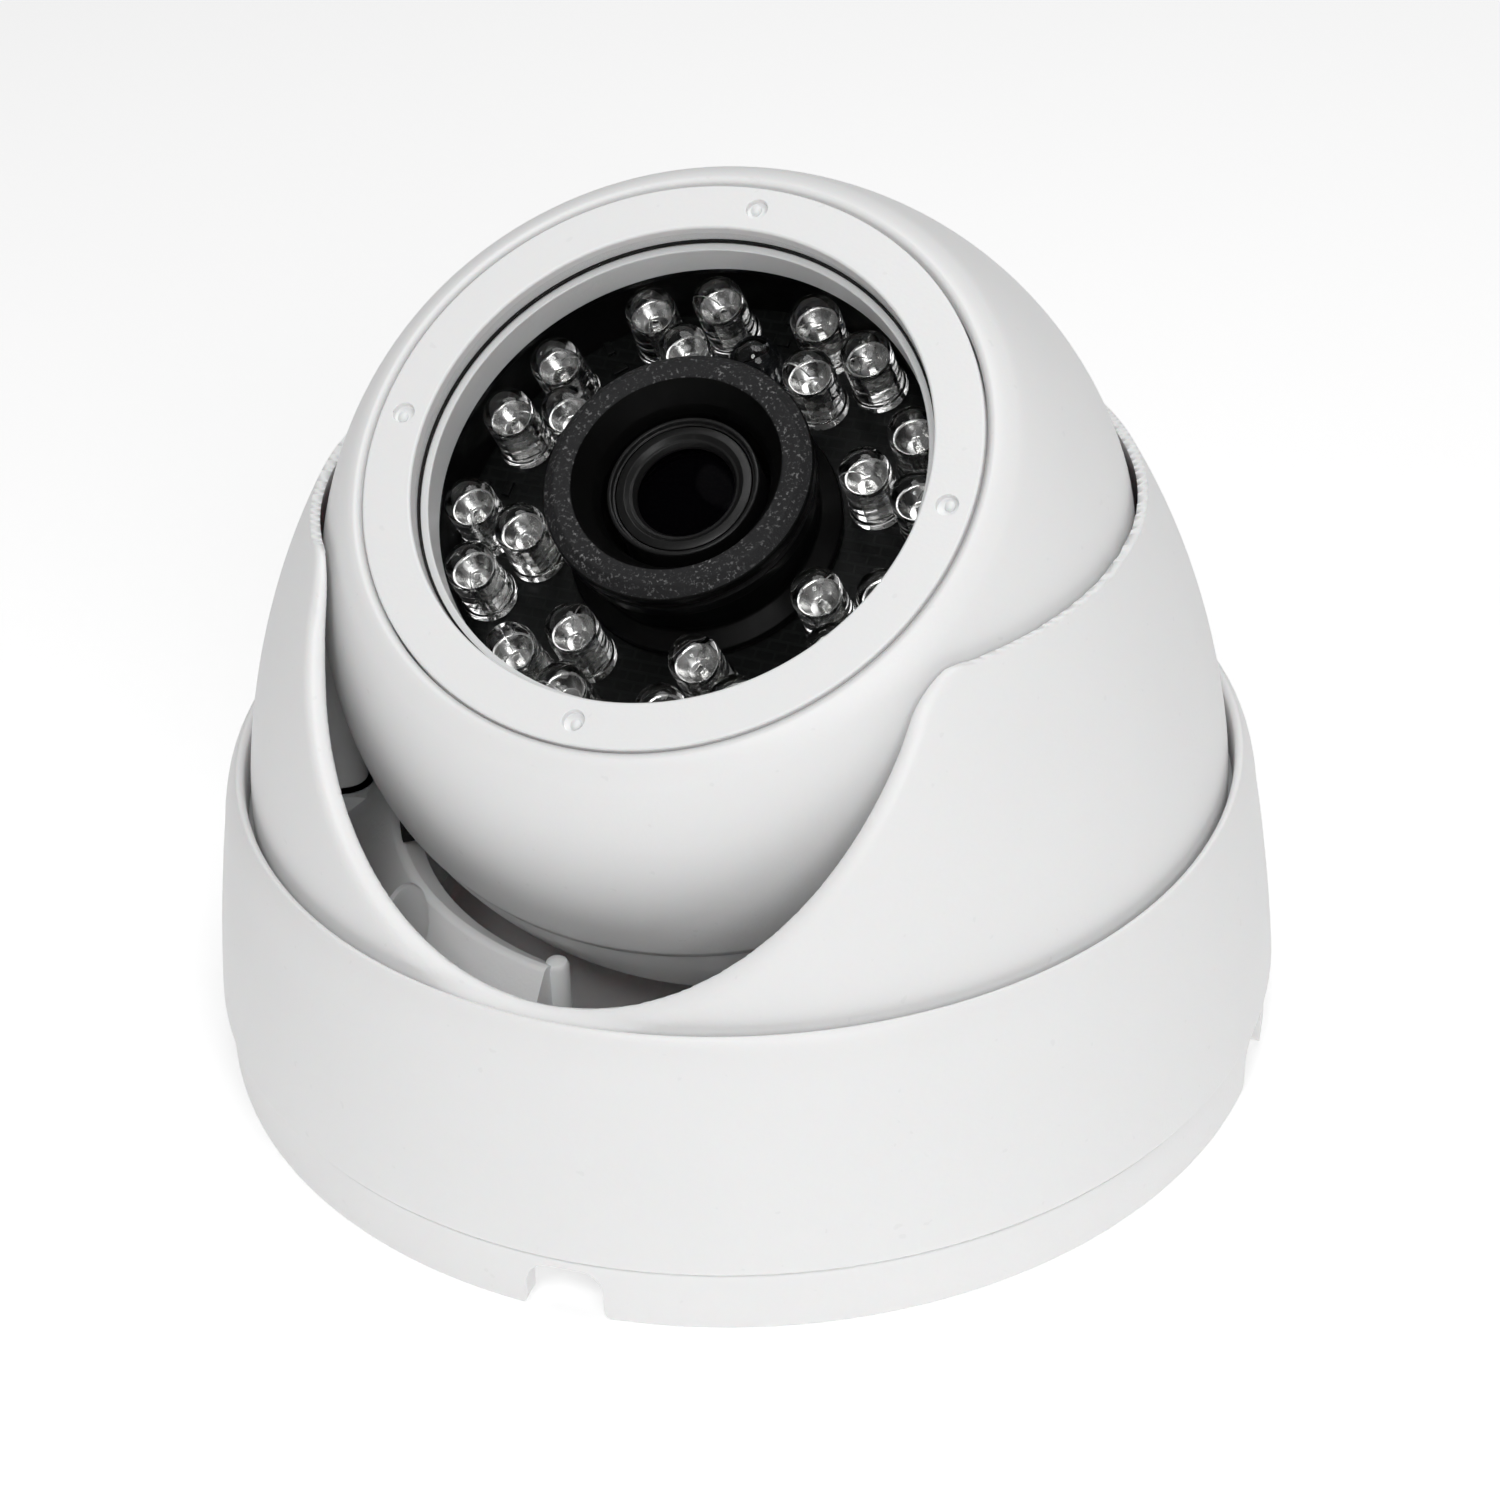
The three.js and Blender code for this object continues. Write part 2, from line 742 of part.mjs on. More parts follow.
function bezelRing() {
  let ring = turned([
    [bezelBore, faceDistance],
    [bezelRadius, faceDistance],
    [bezelRadius, faceDistance - bezelThick],
    [skirtRadius, faceDistance - bezelThick],
    [skirtRadius, skirtBottom],
    [ledgeBore, skirtBottom],
    [ledgeBore, ledgeTop],
    [bezelBore, ledgeTop],
  ]);
  const dimpleFloor = faceDistance - dimpleDepth;
  for (let i = 0; i < dimpleCount; i++) {
    const [x, y] = around((bezelBore + bezelRadius) / 2, (i * 360) / dimpleCount);
    ring = ring.subtract(rod(dimpleRadius, dimpleFloor, faceDistance + overcut, x, y, screwSides));
  }
  return ring;
}

function windowGasket() {
  return tube(ledgeBore, bezelBore - gap, gasketTop - gasketThick, gasketTop);
}

add(head, "bezel_ring", bezelRing(), "whiteShell");
add(head, "window_gasket", windowGasket(), "rubber");
add(head, "window_glass", rod(bezelBore - gap, windowBottom, windowTop, 0, 0, ringSides), "windowGlass");

// ---------------------------------------------------------------- lamp board, lamps and shroud

function lampBoard() {
  const hole = lensHeadRadius + boardHoleSpace;
  return tube(hole, boardEdge, boardBottom, boardTop);
}

function shroud() {
  const inner = lampOuterCircle + lampFlange + gap;
  return tube(inner, inner + shroudWall, boardTop + gap, skirtBottom - gap);
}

function bulb(length, x, y) {
  const foot = boardTop + gap;
  return turned(
    [
      [0, foot],
      [lampFlange, foot],
      [lampFlange, foot + lampFlangeHeight],
      [lampRadius, foot + lampFlangeHeight],
      ...arc(0, foot + length - lampRadius, lampRadius, 0, 90, 3).slice(0, -1),
      [0, foot + length],
    ],
    lampSides,
  ).translate([x, y, 0]);
}

function onBoard(circle, degrees) {
  return [circle * Math.cos(radians(degrees)), circle * Math.sin(radians(degrees))];
}

add(head, "lamp_board", lampBoard(), "circuitBoard");
add(head, "lamp_shroud", shroud(), "blackPlastic");
for (let group = 0; group < lampGroups; group++) {
  const middle = lampPhase + (group * 360) / lampGroups;
  const places = [
    [lampOuterCircle, middle - lampHalfAngle],
    [lampOuterCircle, middle + lampHalfAngle],
    [lampInnerCircle, middle],
  ];
  places.forEach(([circle, angle], i) => {
    const number = String(3 * group + i + 1).padStart(2, "0");
    const [x, y] = onBoard(circle, angle);
    add(head, `infrared_lamp_${number}`, bulb(lampLength, x, y), "lampEpoxy");
  });
}
const sensorAngle = lampPhase + (1.5 * 360) / lampGroups;
const [sensorX, sensorY] = onBoard(lampInnerCircle, sensorAngle);
add(head, "light_sensor", bulb(sensorLength, sensorX, sensorY), "sensorEpoxy");

// ---------------------------------------------------------------- lens, hood and image board

const lensFront = faceDistance - lensDepth;
const lensShoulder = lensFront - lensHeadLength;
const imageBoardTop = boardBottom - boardStack;
const holderTop = boardTop + holderRise;
const threadBore = lensThreadRadius + threadSlip;
const threadEnd = imageBoardTop + chipThick + 3;
const hoodFront = windowBottom - hoodFrontGap;
const hoodLow = boardTop + gap;

function lensHood() {
  const groove = 0.7;
  return turned(
    [
      [hoodThroat, hoodLow],
      [hoodFoot, hoodLow],
      [hoodFoot, hoodLow + 0.8],
      [hoodRadius - 1.6, hoodLow + 1.8],
      [hoodRadius - 1.6, hoodFront - 5.6],
      [hoodRadius - 0.2, hoodFront - 4.4],
      [hoodRadius - 0.2, hoodFront - 3.2],
      [hoodRadius - groove, hoodFront - 3],
      [hoodRadius - groove, hoodFront - 2.4],
      [hoodRadius, hoodFront - 2.2],
      [hoodRadius, hoodFront - 0.3],
      [hoodRadius - 0.3, hoodFront],
      [hoodMouth + 0.2, hoodFront],
      [hoodMouth, hoodFront - 0.2],
      [hoodThroat, lensFront - 1],
    ],
    ringSides,
  );
}

function lensBarrel() {
  const pocket = retainerRadius + contact;
  return turned(
    [
      [lensStop, threadEnd],
      [lensThreadRadius, threadEnd],
      [lensThreadRadius, lensShoulder],
      [lensHeadRadius, lensShoulder],
      [lensHeadRadius, lensFront - 0.3],
      [lensHeadRadius - 0.3, lensFront],
      [pocket + 0.2, lensFront],
      [pocket, lensFront - 0.2],
      [pocket, lensFront - lensPocketDepth],
      [lensStop, lensFront - lensPocketDepth],
    ],
    lensSides,
  );
}

function lensRetainer() {
  const high = lensFront - gap;
  const low = high - retainerThick;
  const bore = retainerRadius - retainerWidth;
  return turned(
    [[bore, low], [retainerRadius, low], [retainerRadius, high], [bore + 0.5, high]],
    lensSides,
  );
}

function frontElement() {
  const crown = lensFront - gap - retainerThick - contact;
  const low = lensFront - lensPocketDepth + gap;
  const edge = retainerRadius - contact;
  const curve = 3 * edge;
  const rise = THREE.MathUtils.radToDeg(Math.asin(edge / curve));
  const front = arc(0, crown - curve, curve, 90 - rise, 90, 3).slice(0, -1);
  return turned([[0, low], [edge, low], ...front, [0, crown]], lensSides);
}

function lockRing() {
  const low = holderTop + gap;
  return tube(threadBore, threadBore + lockRingWidth, low, low + lockRingThick, lensSides);
}

function lensHolder() {
  const low = imageBoardTop + contact;
  const roof = low + chipThick + 1.6;
  const width = 2 * (lensThreadRadius + holderWall);
  const cavity = width - 2 * holderWall;
  return block(width, width, low, roof + holderRoof)
    .add(rod(threadBore + holderWall, roof, holderTop, 0, 0, lensSides))
    .subtract(rod(threadBore, roof - overcut, holderTop + overcut, 0, 0, lensSides))
    .subtract(block(cavity, cavity, low - overcut, roof));
}

function imageBoard() {
  return block(imageBoardSize, imageBoardSize, imageBoardTop - boardThick, imageBoardTop);
}

function spacer(x, y) {
  return rod(spacerRadius, imageBoardTop + contact, boardBottom - contact, x, y, 6);
}

add(head, "lens_hood", lensHood(), "blackFoam");
add(head, "lens_barrel", lensBarrel(), "lensMetal");
add(head, "lens_retainer", lensRetainer(), "lensMetal");
add(head, "lens_front_element", frontElement(), "lensGlass");
add(head, "lens_lock_ring", lockRing(), "brass");
add(head, "lens_holder", lensHolder(), "blackPlastic");
add(head, "image_board", imageBoard(), "circuitBoard");
const chipLow = imageBoardTop + contact;
add(head, "image_sensor", block(chipSize, chipSize, chipLow, chipLow + chipThick), "chipCeramic");
add(head, "board_spacer_1", spacer(spacerOffset, spacerOffset), "brass");
add(head, "board_spacer_2", spacer(-spacerOffset, -spacerOffset), "brass");

export default camera;
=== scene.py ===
"""The looks of a turret security camera: moulded white shells, a clear window, lamps and a hooded lens.

Outlines are drawn in millimetres. Head pieces are drawn about the ball's middle with the lens axis up,
and then placed in the frame. The base and the turret are drawn where they stand.
"""

import json
import math
import random

import bmesh
import bpy
import numpy as np
from mathutils import Matrix, Vector


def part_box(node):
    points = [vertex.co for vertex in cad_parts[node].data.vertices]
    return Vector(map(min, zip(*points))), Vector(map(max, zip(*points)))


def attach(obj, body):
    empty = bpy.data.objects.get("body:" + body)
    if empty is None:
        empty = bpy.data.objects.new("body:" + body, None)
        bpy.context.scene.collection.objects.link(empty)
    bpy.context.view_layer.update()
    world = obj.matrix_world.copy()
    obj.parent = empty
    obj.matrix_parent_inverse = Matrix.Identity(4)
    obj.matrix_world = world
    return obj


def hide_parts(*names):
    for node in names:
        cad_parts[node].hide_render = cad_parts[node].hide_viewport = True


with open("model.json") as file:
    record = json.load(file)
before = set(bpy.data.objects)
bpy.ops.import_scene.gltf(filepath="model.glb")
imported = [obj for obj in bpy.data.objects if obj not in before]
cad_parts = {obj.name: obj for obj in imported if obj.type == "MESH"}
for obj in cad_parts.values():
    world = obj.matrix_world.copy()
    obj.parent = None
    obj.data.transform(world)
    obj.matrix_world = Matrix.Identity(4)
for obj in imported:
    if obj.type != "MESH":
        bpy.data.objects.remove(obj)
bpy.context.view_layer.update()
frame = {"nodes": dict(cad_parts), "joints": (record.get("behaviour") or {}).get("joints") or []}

MM = 0.001

# ---------------------------------------------------------------- places from the frame

joints = {joint["name"]: joint for joint in frame["joints"]}
BALL_HEIGHT = joints["tilt"]["pos_m"][2] / MM
LENS_AXIS = Vector(joints["roll"]["axis"])

ON_BASE = Matrix.Scale(MM, 4)
ON_HEAD = (
    ON_BASE
    @ Matrix.Translation((0, 0, BALL_HEIGHT))
    @ Vector((0, 0, 1)).rotation_difference(LENS_AXIS).to_matrix().to_4x4()
)


def head_box(node):
    """Lowest and highest corner of a node in the head's own drawing space, in millimetres."""
    back = ON_HEAD.inverted()
    points = [back @ vert.co for vert in frame["nodes"][node].data.vertices]
    low = Vector([min(point[axis] for point in points) for axis in range(3)])
    high = Vector([max(point[axis] for point in points) for axis in range(3)])
    return low, high


# ---------------------------------------------------------------- sizes, in millimetres

# FLANGE: inner and outer radius, low and high. RECESS: turn, depth down the skirt, radius, depth.

PLATE_RADIUS = 53.9
PLATE_TOP = 6.75
PLATE_WALL = 2.2
PLATE_FLOOR = (4.6, 6.6)
CABLE_HOLE = 9.0
TRACK = (32.6, 35.4, 8.7)
NOTCH_TURN = 4.0
NOTCH_WIDTH = 7.6
NOTCH_HEIGHT = 5.7
NOTCH_CORNER = 2.6
SLOT_RADIUS = 41.0
SLOT_SIZE = (9.0, 4.2)

COVER_FOOT = 54.34
COVER_SHOULDER = (52.05, 26.0)
COVER_TOP = 31.6
COVER_RIM = 50.3
LIP_RADIUS = 49.55

TURRET_FOOT = (49.15, 30.0)
TURRET_WAIST = (47.2, 48.0)
TURRET_APEX = (38.8, 62.0)
TURRET_TOP = 60.6
TURRET_WALL = 2.2
SEAT_RADIUS = 40.4
OPENING_RADIUS = 29.4
OPENING_HEIGHT = 60.3
OPENING_CORNER = 4.5
LIP_ROUNDING = 1.9
EDGE_ROUNDING = 0.7
INNER_ROUNDING = 0.6
SEAT_ROUNDING = 2.0
TURRET_LOW = 26.0
GRID = 0.5
SETTLING_ROUNDS = (10, 5, 5)
LAST_ROUNDS = 8
RELAXING_ROUNDS = 3
LONGEST_STEP = 0.4
FLANGE = (46.95, 50.05, 24.4, 26.6)
LUG_CIRCLE = 42.6
LUG_ANGLES = (80, -80, 150)

RING_INNER = 32.6
RING_OUTER = 35.4
RING_TOP = 24.6
RING_LOW = 9.0
RING_BRIDGE = 14.0
RING_FLARE = 3.4
RING_SKIRT = 5.6
RING_RIGHT = (18.5, 167.0)
RING_LEFT = (193.0, 351.0)
RECESS = (-40.0, 4.5, 4.5, 0.7)

BALL_RADIUS = 40.0
FACE = 24.6
SEAM = 1.0
SCREW_CIRCLE = 28.0
SCREW_SEAT = -24.0
SCREW_ANGLES = (30, 150, 270)
BEZEL_RADIUS = 29.6
BEZEL_BORE = 24.85
BEZEL_THICK = 3.1
DIMPLE_CIRCLE = 27.2
WINDOW_TOP = 24.2
WINDOW_THICK = 1.5
BOARD_TOP = 9.8
BOARD_THICK = 1.6
LAMP_GROUPS = 8
LAMP_PHASE = 20.2
LAMP_RADIUS = 2.5
LAMP_FLANGE = 2.75
LENS_FRONT = 19.2
LENS_HEAD = 7.35
LENS_THREAD = 6.0
HOOD_RADIUS = 13.0
HOOD_MOUTH = 10.2
HOOD_THROAT = 8.2

ROUND = 144
FINE = 96
SMALL = 48

# ---------------------------------------------------------------- camera

VIEW_AZIMUTH = 23.6
VIEW_ELEVATION = 33.11
VIEW_ROLL = -2.185
VIEW_DISTANCE = 352.2
VIEW_TARGET = (1.46, 29.2)
LENS_LENGTH = 83.65
SENSOR_WIDTH = 36
VIEW_SHIFT = (-0.002333, -0.000733)
NEAREST = 0.01


def make_camera():
    azimuth = math.radians(VIEW_AZIMUTH)
    elevation = math.radians(VIEW_ELEVATION)
    roll = math.radians(VIEW_ROLL)
    across, rise = VIEW_TARGET
    back = Vector((math.sin(azimuth), -math.cos(azimuth), 0)) * math.cos(elevation)
    back.z = math.sin(elevation)
    level = Vector((math.cos(azimuth), math.sin(azimuth), 0))
    upright = back.cross(level)
    right = level * math.cos(roll) + upright * math.sin(roll)
    up = upright * math.cos(roll) - level * math.sin(roll)
    target = level * across + Vector((0, 0, rise))
    data = bpy.data.cameras.new("view")
    data.lens = LENS_LENGTH
    data.sensor_width = SENSOR_WIDTH
    data.shift_x, data.shift_y = VIEW_SHIFT
    data.clip_start = NEAREST
    camera = bpy.data.objects.new("view", data)
    axes = Matrix((right, up, back)).transposed().to_4x4()
    camera.matrix_world = Matrix.Translation((target + back * VIEW_DISTANCE) * MM) @ axes
    bpy.context.scene.collection.objects.link(camera)
    bpy.context.scene.camera = camera


make_camera()

# ---------------------------------------------------------------- finishes


class Socket:
    """An output of a node. Arithmetic on it adds Math nodes."""

    def __init__(self, finish, output):
        self.finish = finish
        self.output = output

    def _math(self, operation, *values):
        return self.finish.node("ShaderNodeMath", {"operation": operation}, *values)

    def __add__(self, other):
        return self._math("ADD", self, other)

    __radd__ = __add__

    def __rsub__(self, other):
        return self._math("SUBTRACT", other, self)

    def __mul__(self, other):
        return self._math("MULTIPLY", self, other)

    __rmul__ = __mul__

    def clamped(self):
        return self.finish.node("ShaderNodeClamp", {}, self, 0.0, 1.0)


class Finish:
    """A material built from one Principled shader, with named starting values."""

    def __init__(self, name, color, roughness, **values):
        self.material = bpy.data.materials.new(name)
        self.material.use_nodes = True
        self.tree = self.material.node_tree
        self.shader = self.tree.nodes["Principled BSDF"]
        self.shader.inputs["Base Color"].default_value = (*color, 1)
        self.shader.inputs["Roughness"].default_value = roughness
        self.material.diffuse_color = (*color, 1)
        for key, value in values.items():
            self.shader.inputs[key.replace("_", " ")].default_value = value

    def node(self, kind, settings, *values, out=0, **named):
        node = self.tree.nodes.new(kind)
        for key, value in settings.items():
            if key == "stops":
                self._set_stops(node.color_ramp, value)
            else:
                setattr(node, key, value)
        for place, value in [*enumerate(values), *named.items()]:
            socket = node.inputs[place.replace("_", " ") if isinstance(place, str) else place]
            if isinstance(value, Socket):
                self.tree.links.new(value.output, socket)
            else:
                socket.default_value = value
        return Socket(self, node.outputs[out])

    @staticmethod
    def _set_stops(ramp, stops):
        while len(ramp.elements) < len(stops):
            ramp.elements.new(1)
        for element, (position, shade) in zip(ramp.elements, stops):
            element.position = position
            element.color = (shade, shade, shade, 1)

    def place(self):
        return self.node("ShaderNodeTexCoord", {}, out="Object")

    def noise(self, scale, detail=2.0, roughness=0.5):
        values = {"Vector": self.place(), "Scale": scale, "Detail": detail, "Roughness": roughness}
        return self.node("ShaderNodeTexNoise", {}, **values)

    def steps(self, value, *stops):
        return self.node("ShaderNodeValToRGB", {"stops": stops}, value)

    def between(self, first, second, factor):
        """A colour that runs from the first to the second as the factor goes from 0 to 1."""
        mix = self.tree.nodes.new("ShaderNodeMix")
        mix.data_type = "RGBA"
        mix.inputs[6].default_value = (*first, 1)
        mix.inputs[7].default_value = (*second, 1)
        self.tree.links.new(factor.output, mix.inputs[0])
        return Socket(self, mix.outputs[2])

    def feed(self, name, value):
        self.tree.links.new(value.output, self.shader.inputs[name])
        return self

    def bump(self, height, distance, strength=1.0):
        normal = self.node("ShaderNodeBump", {}, Strength=strength, Distance=distance, Height=height)
        return self.feed("Normal", normal)


def moulded_white(name, light, shade, roughness, grain):
    """Satin moulded plastic: a faint mottle, tiny dust specks and a fine spark-eroded grain."""
    finish = Finish(name, light, roughness, Subsurface_Weight=0.08, Subsurface_Scale=0.002)
    mottle = finish.noise(55, 3.0)
    specks = finish.steps(finish.noise(900, 1.0), (0.0, 0.0), (0.745, 0.0), (0.775, 1.0))
    finish.feed("Base Color", finish.between(light, shade, (mottle * 0.35 + specks * 0.5).clamped()))
    finish.feed("Roughness", mottle * 0.1 + (roughness - 0.05))
    return finish.bump(finish.noise(2600, 2.0) + finish.noise(260, 1.0) * 0.6, grain)


def plain_black(name, color, roughness, grain_scale, grain, shine=0.2):
    """Black plastic or rubber, a little dusty and uneven."""
    finish = Finish(name, color, roughness, Specular_IOR_Level=shine)
    dust = finish.steps(finish.noise(700, 3.0), (0.0, 0.0), (0.62, 0.0), (0.8, 1.0))
    finish.feed("Base Color", finish.between(color, tuple(c * 2.5 + 0.006 for c in color), dust * 0.5))
    finish.feed("Roughness", (finish.noise(400, 2.0) * 0.2 + (roughness - 0.1)).clamped())
    return finish.bump(finish.noise(grain_scale, 2.0), grain)


def grainy_hood():
    """Black rubber full of small bright flecks."""
    dark, fleck = (0.014, 0.014, 0.015), (0.42, 0.42, 0.42)
    finish = Finish("hood grain", dark, 0.62, Specular_IOR_Level=0.3)
    flecks = finish.steps(finish.noise(2600, 2.0, 0.7), (0.0, 0.0), (0.56, 0.0), (0.72, 1.0))
    broad = finish.steps(finish.noise(420, 3.0), (0.0, 0.2), (0.4, 0.2), (0.7, 1.0))
    finish.feed("Base Color", finish.between(dark, fleck, (flecks * broad * 0.7).clamped()))
    finish.feed("Roughness", 0.66 - flecks * 0.3)
    return finish.bump(finish.noise(1900, 3.0, 0.7), 0.00012)


def solder_mask():
    """A black board with raised tracks under the mask and a few bright specks of flux."""
    dark, copper = (0.003, 0.0035, 0.0035), (0.01, 0.012, 0.011)
    finish = Finish("board black", dark, 0.34, Specular_IOR_Level=0.2)
    tracks = finish.node(
        "ShaderNodeTexBrick", {}, Vector=finish.place(), Scale=260.0, Mortar_Size=0.03, out="Fac"
    )
    specks = finish.steps(finish.noise(1500, 1.0), (0.0, 0.0), (0.74, 0.0), (0.78, 1.0))
    finish.feed("Base Color", finish.between(dark, copper, (tracks * 0.6 + specks).clamped()))
    finish.feed("Roughness", 0.3 + finish.noise(300, 2.0) * 0.2)
    return finish.bump(tracks, 0.00004)


def bright_metal(name, color, roughness, streaks):
    finish = Finish(name, color, roughness, Metallic=1.0)
    worn = finish.noise(streaks, 3.0, 0.6)
    finish.feed("Base Color", finish.between(color, tuple(c * 0.62 for c in color), worn))
    finish.feed("Roughness", worn * 0.25 + (roughness - 0.08))
    return finish.bump(worn, 0.00002)


def clear(name, color, roughness, wave, **values):
    """Clear glass or epoxy with a faintly uneven surface."""
    finish = Finish(name, color, roughness, **values)
    return finish.bump(finish.noise(wave, 1.0), 0.00003)


WHITE = moulded_white("shell white", (0.86, 0.86, 0.86), (0.79, 0.79, 0.79), 0.42, 0.00002)
# A brighter copy of the shell white for the ball ring: painted light, so the ring in its shaded hollow
# under the ball reads as bright as the lit shells.
RING_WHITE_PAINTED_BRIGHTER = moulded_white("ring white painted brighter", (0.90, 0.90, 0.90), (0.83, 0.83, 0.83), 0.5, 0.00003)
RUBBER = plain_black("rubber black", (0.010, 0.010, 0.010), 0.75, 1500, 0.00003)
BLACK = plain_black("plastic black", (0.002, 0.002, 0.002), 0.4, 1200, 0.00002, shine=0.12)
ANODISED = plain_black("anodised black", (0.008, 0.008, 0.008), 0.34, 2400, 0.00001, shine=0.3)
HOOD = grainy_hood()
BOARD = solder_mask()
STEEL = bright_metal("screw steel", (0.62, 0.62, 0.63), 0.3, 900)
BRASS = bright_metal("turned brass", (0.72, 0.55, 0.30), 0.32, 700)
SILVER = bright_metal("lamp silver", (0.93, 0.93, 0.92), 0.22, 1500)
WINDOW = clear("window clear", (0.0, 0.0, 0.0), 0.02, 30, Alpha=0.04, IOR=1.45)
EPOXY = clear("lamp epoxy", (1, 1, 1), 0.0, 700, Transmission_Weight=1.0, IOR=1.5)
SMOKED = clear("sensor epoxy", (0.55, 0.56, 0.58), 0.02, 500, Transmission_Weight=1.0, IOR=1.5)
LENS_GLASS = clear("lens coated", (0.0005, 0.0004, 0.0008), 0.03, 60, Specular_IOR_Level=0.008)
CHIP = plain_black("chip grey", (0.02, 0.021, 0.023), 0.3, 1800, 0.00001)

# ---------------------------------------------------------------- shape helpers


class Outline:
    """A line drawn in the XZ plane, which becomes a solid when it is turned round Z."""

    def __init__(self, r, z, rounding=0.0):
        self.mesh = bmesh.new()
        self.first = self.last = self.mesh.verts.new((r, 0, z))
        self.roundings = [(self.first, rounding)]

    def to(self, r, z, rounding=0.0):
        vert = self.mesh.verts.new((r, 0, z))
        self.mesh.edges.new((self.last, vert))
        self.roundings.append((vert, rounding))
        self.last = vert
        return self

    def arc(self, centre_r, centre_z, degrees, steps):
        """Carries the line on round a centre; positive degrees turn it from +X towards +Z."""
        made = bmesh.ops.spin(
            self.mesh,
            geom=[self.last],
            cent=(centre_r, 0, centre_z),
            axis=(0, -1, 0),
            angle=math.radians(degrees),
            steps=steps,
        )
        self.last = made["geom_last"][0]
        return self

    def curve(self, control, end, steps):
        """Carries the line on along a quadratic curve."""
        start = (self.last.co.x, self.last.co.z)
        for i in range(1, steps + 1):
            t = i / steps
            weights = ((1 - t) ** 2, 2 * t * (1 - t), t * t)
            r, z = (sum(w * p[axis] for w, p in zip(weights, (start, control, end))) for axis in (0, 1))
            self.to(r, z)
        return self

    def close(self):
        self.mesh.edges.new((self.last, self.first))
        return self

    def round_corners(self, segments):
        for vert, rounding in self.roundings:
            if rounding and len(vert.link_edges) == 2:
                ways = [(edge.other_vert(vert).co - vert.co).normalized() for edge in vert.link_edges]
                half = ways[0].angle(ways[1]) / 2
                room = 0.48 * min(edge.calc_length() for edge in vert.link_edges)
                bmesh.ops.bevel(
                    self.mesh,
                    geom=[vert],
                    offset=min(rounding / math.tan(half), room),
                    offset_type="OFFSET",
                    affect="VERTICES",
                    segments=segments,
                    profile=0.5,
                    material=-1,
                )

    def turned(self, steps, degrees=360.0, segments=4):
        self.round_corners(segments)
        if degrees < 360:
            bmesh.ops.contextual_create(self.mesh, geom=self.mesh.edges[:])
        bmesh.ops.spin(
            self.mesh,
            geom=self.mesh.verts[:] + self.mesh.edges[:] + self.mesh.faces[:],
            cent=(0, 0, 0),
            axis=(0, 0, 1),
            angle=math.radians(degrees),
            steps=steps,
            use_merge=degrees >= 360,
        )
        bmesh.ops.remove_doubles(self.mesh, verts=self.mesh.verts, dist=1e-4)
        bmesh.ops.recalc_face_normals(self.mesh, faces=self.mesh.faces)
        return self.mesh


def joined(*meshes):
    """One bmesh that holds all the given ones."""
    whole = bmesh.new()
    for mesh in meshes:
        data = bpy.data.meshes.new("part")
        mesh.to_mesh(data)
        mesh.free()
        whole.from_mesh(data)
        bpy.data.meshes.remove(data)
    return whole


def moved(mesh, matrix):
    bmesh.ops.transform(mesh, matrix=matrix, verts=mesh.verts)
    return mesh


def shift(x=0.0, y=0.0, z=0.0):
    return Matrix.Translation((x, y, z))


def turn(degrees, axis="Z"):
    return Matrix.Rotation(math.radians(degrees), 4, axis)


def around(radius, degrees):
    """A point on a circle round Z, with 0 degrees at the front and positive angles towards +X."""
    return radius * math.sin(math.radians(degrees)), -radius * math.cos(math.radians(degrees))


def rod(radius, low, high, x=0.0, y=0.0, sides=SMALL, edge=0.0):
    mesh = bmesh.new()
    bmesh.ops.create_cone(
        mesh, cap_ends=True, segments=sides, radius1=radius, radius2=radius, depth=high - low
    )
    rims = [e for e in mesh.edges if abs(e.verts[0].co.z - e.verts[1].co.z) < 1e-6]
    if edge:
        bevel(mesh, rims, edge, 2)
    return moved(mesh, shift(x, y, (low + high) / 2))


def block(width, depth, low, high, x=0.0, y=0.0, edge=0.0):
    mesh = bmesh.new()
    bmesh.ops.create_cube(mesh, size=1)
    bmesh.ops.scale(mesh, vec=(width, depth, high - low), verts=mesh.verts)
    if edge:
        bevel(mesh, mesh.edges[:], edge, 2)
    return moved(mesh, shift(x, y, (low + high) / 2))


def bevel(mesh, edges, width, segments):
    bmesh.ops.bevel(
        mesh,
        geom=edges,
        offset=width,
        offset_type="OFFSET",
        affect="EDGES",
        segments=segments,
        profile=0.5,
        material=-1,
        clamp_overlap=True,
    )


def bare(name, mesh, matrix=None):
    """A mesh object that isn't yet a piece."""
    if matrix is not None:
        moved(mesh, matrix)
    data = bpy.data.meshes.new(name)
    mesh.to_mesh(data)
    mesh.free()
    thing = bpy.data.objects.new(name, data)
    bpy.context.scene.collection.objects.link(thing)
    return thing


def applied(thing):
    """Replaces an object's mesh by what its modifiers make of it."""
    graph = bpy.context.evaluated_depsgraph_get()
    made = bpy.data.meshes.new_from_object(thing.evaluated_get(graph))
    thing.modifiers.clear()
    thing.data = made
    return thing


def carved(thing, cutters):
    """Cuts closed bodies out of an object."""
    for cutter in cutters:
        tool = bare("cutter", cutter)
        cut = thing.modifiers.new("cut", "BOOLEAN")
        cut.operation = "DIFFERENCE"
        cut.solver = "EXACT"
        cut.object = tool
        applied(thing)
        bpy.data.objects.remove(tool)
    return thing


def taken(thing):
    """The bmesh of an object, which is then removed."""
    mesh = bmesh.new()
    mesh.from_mesh(thing.data)
    bpy.data.objects.remove(thing)
    return mesh


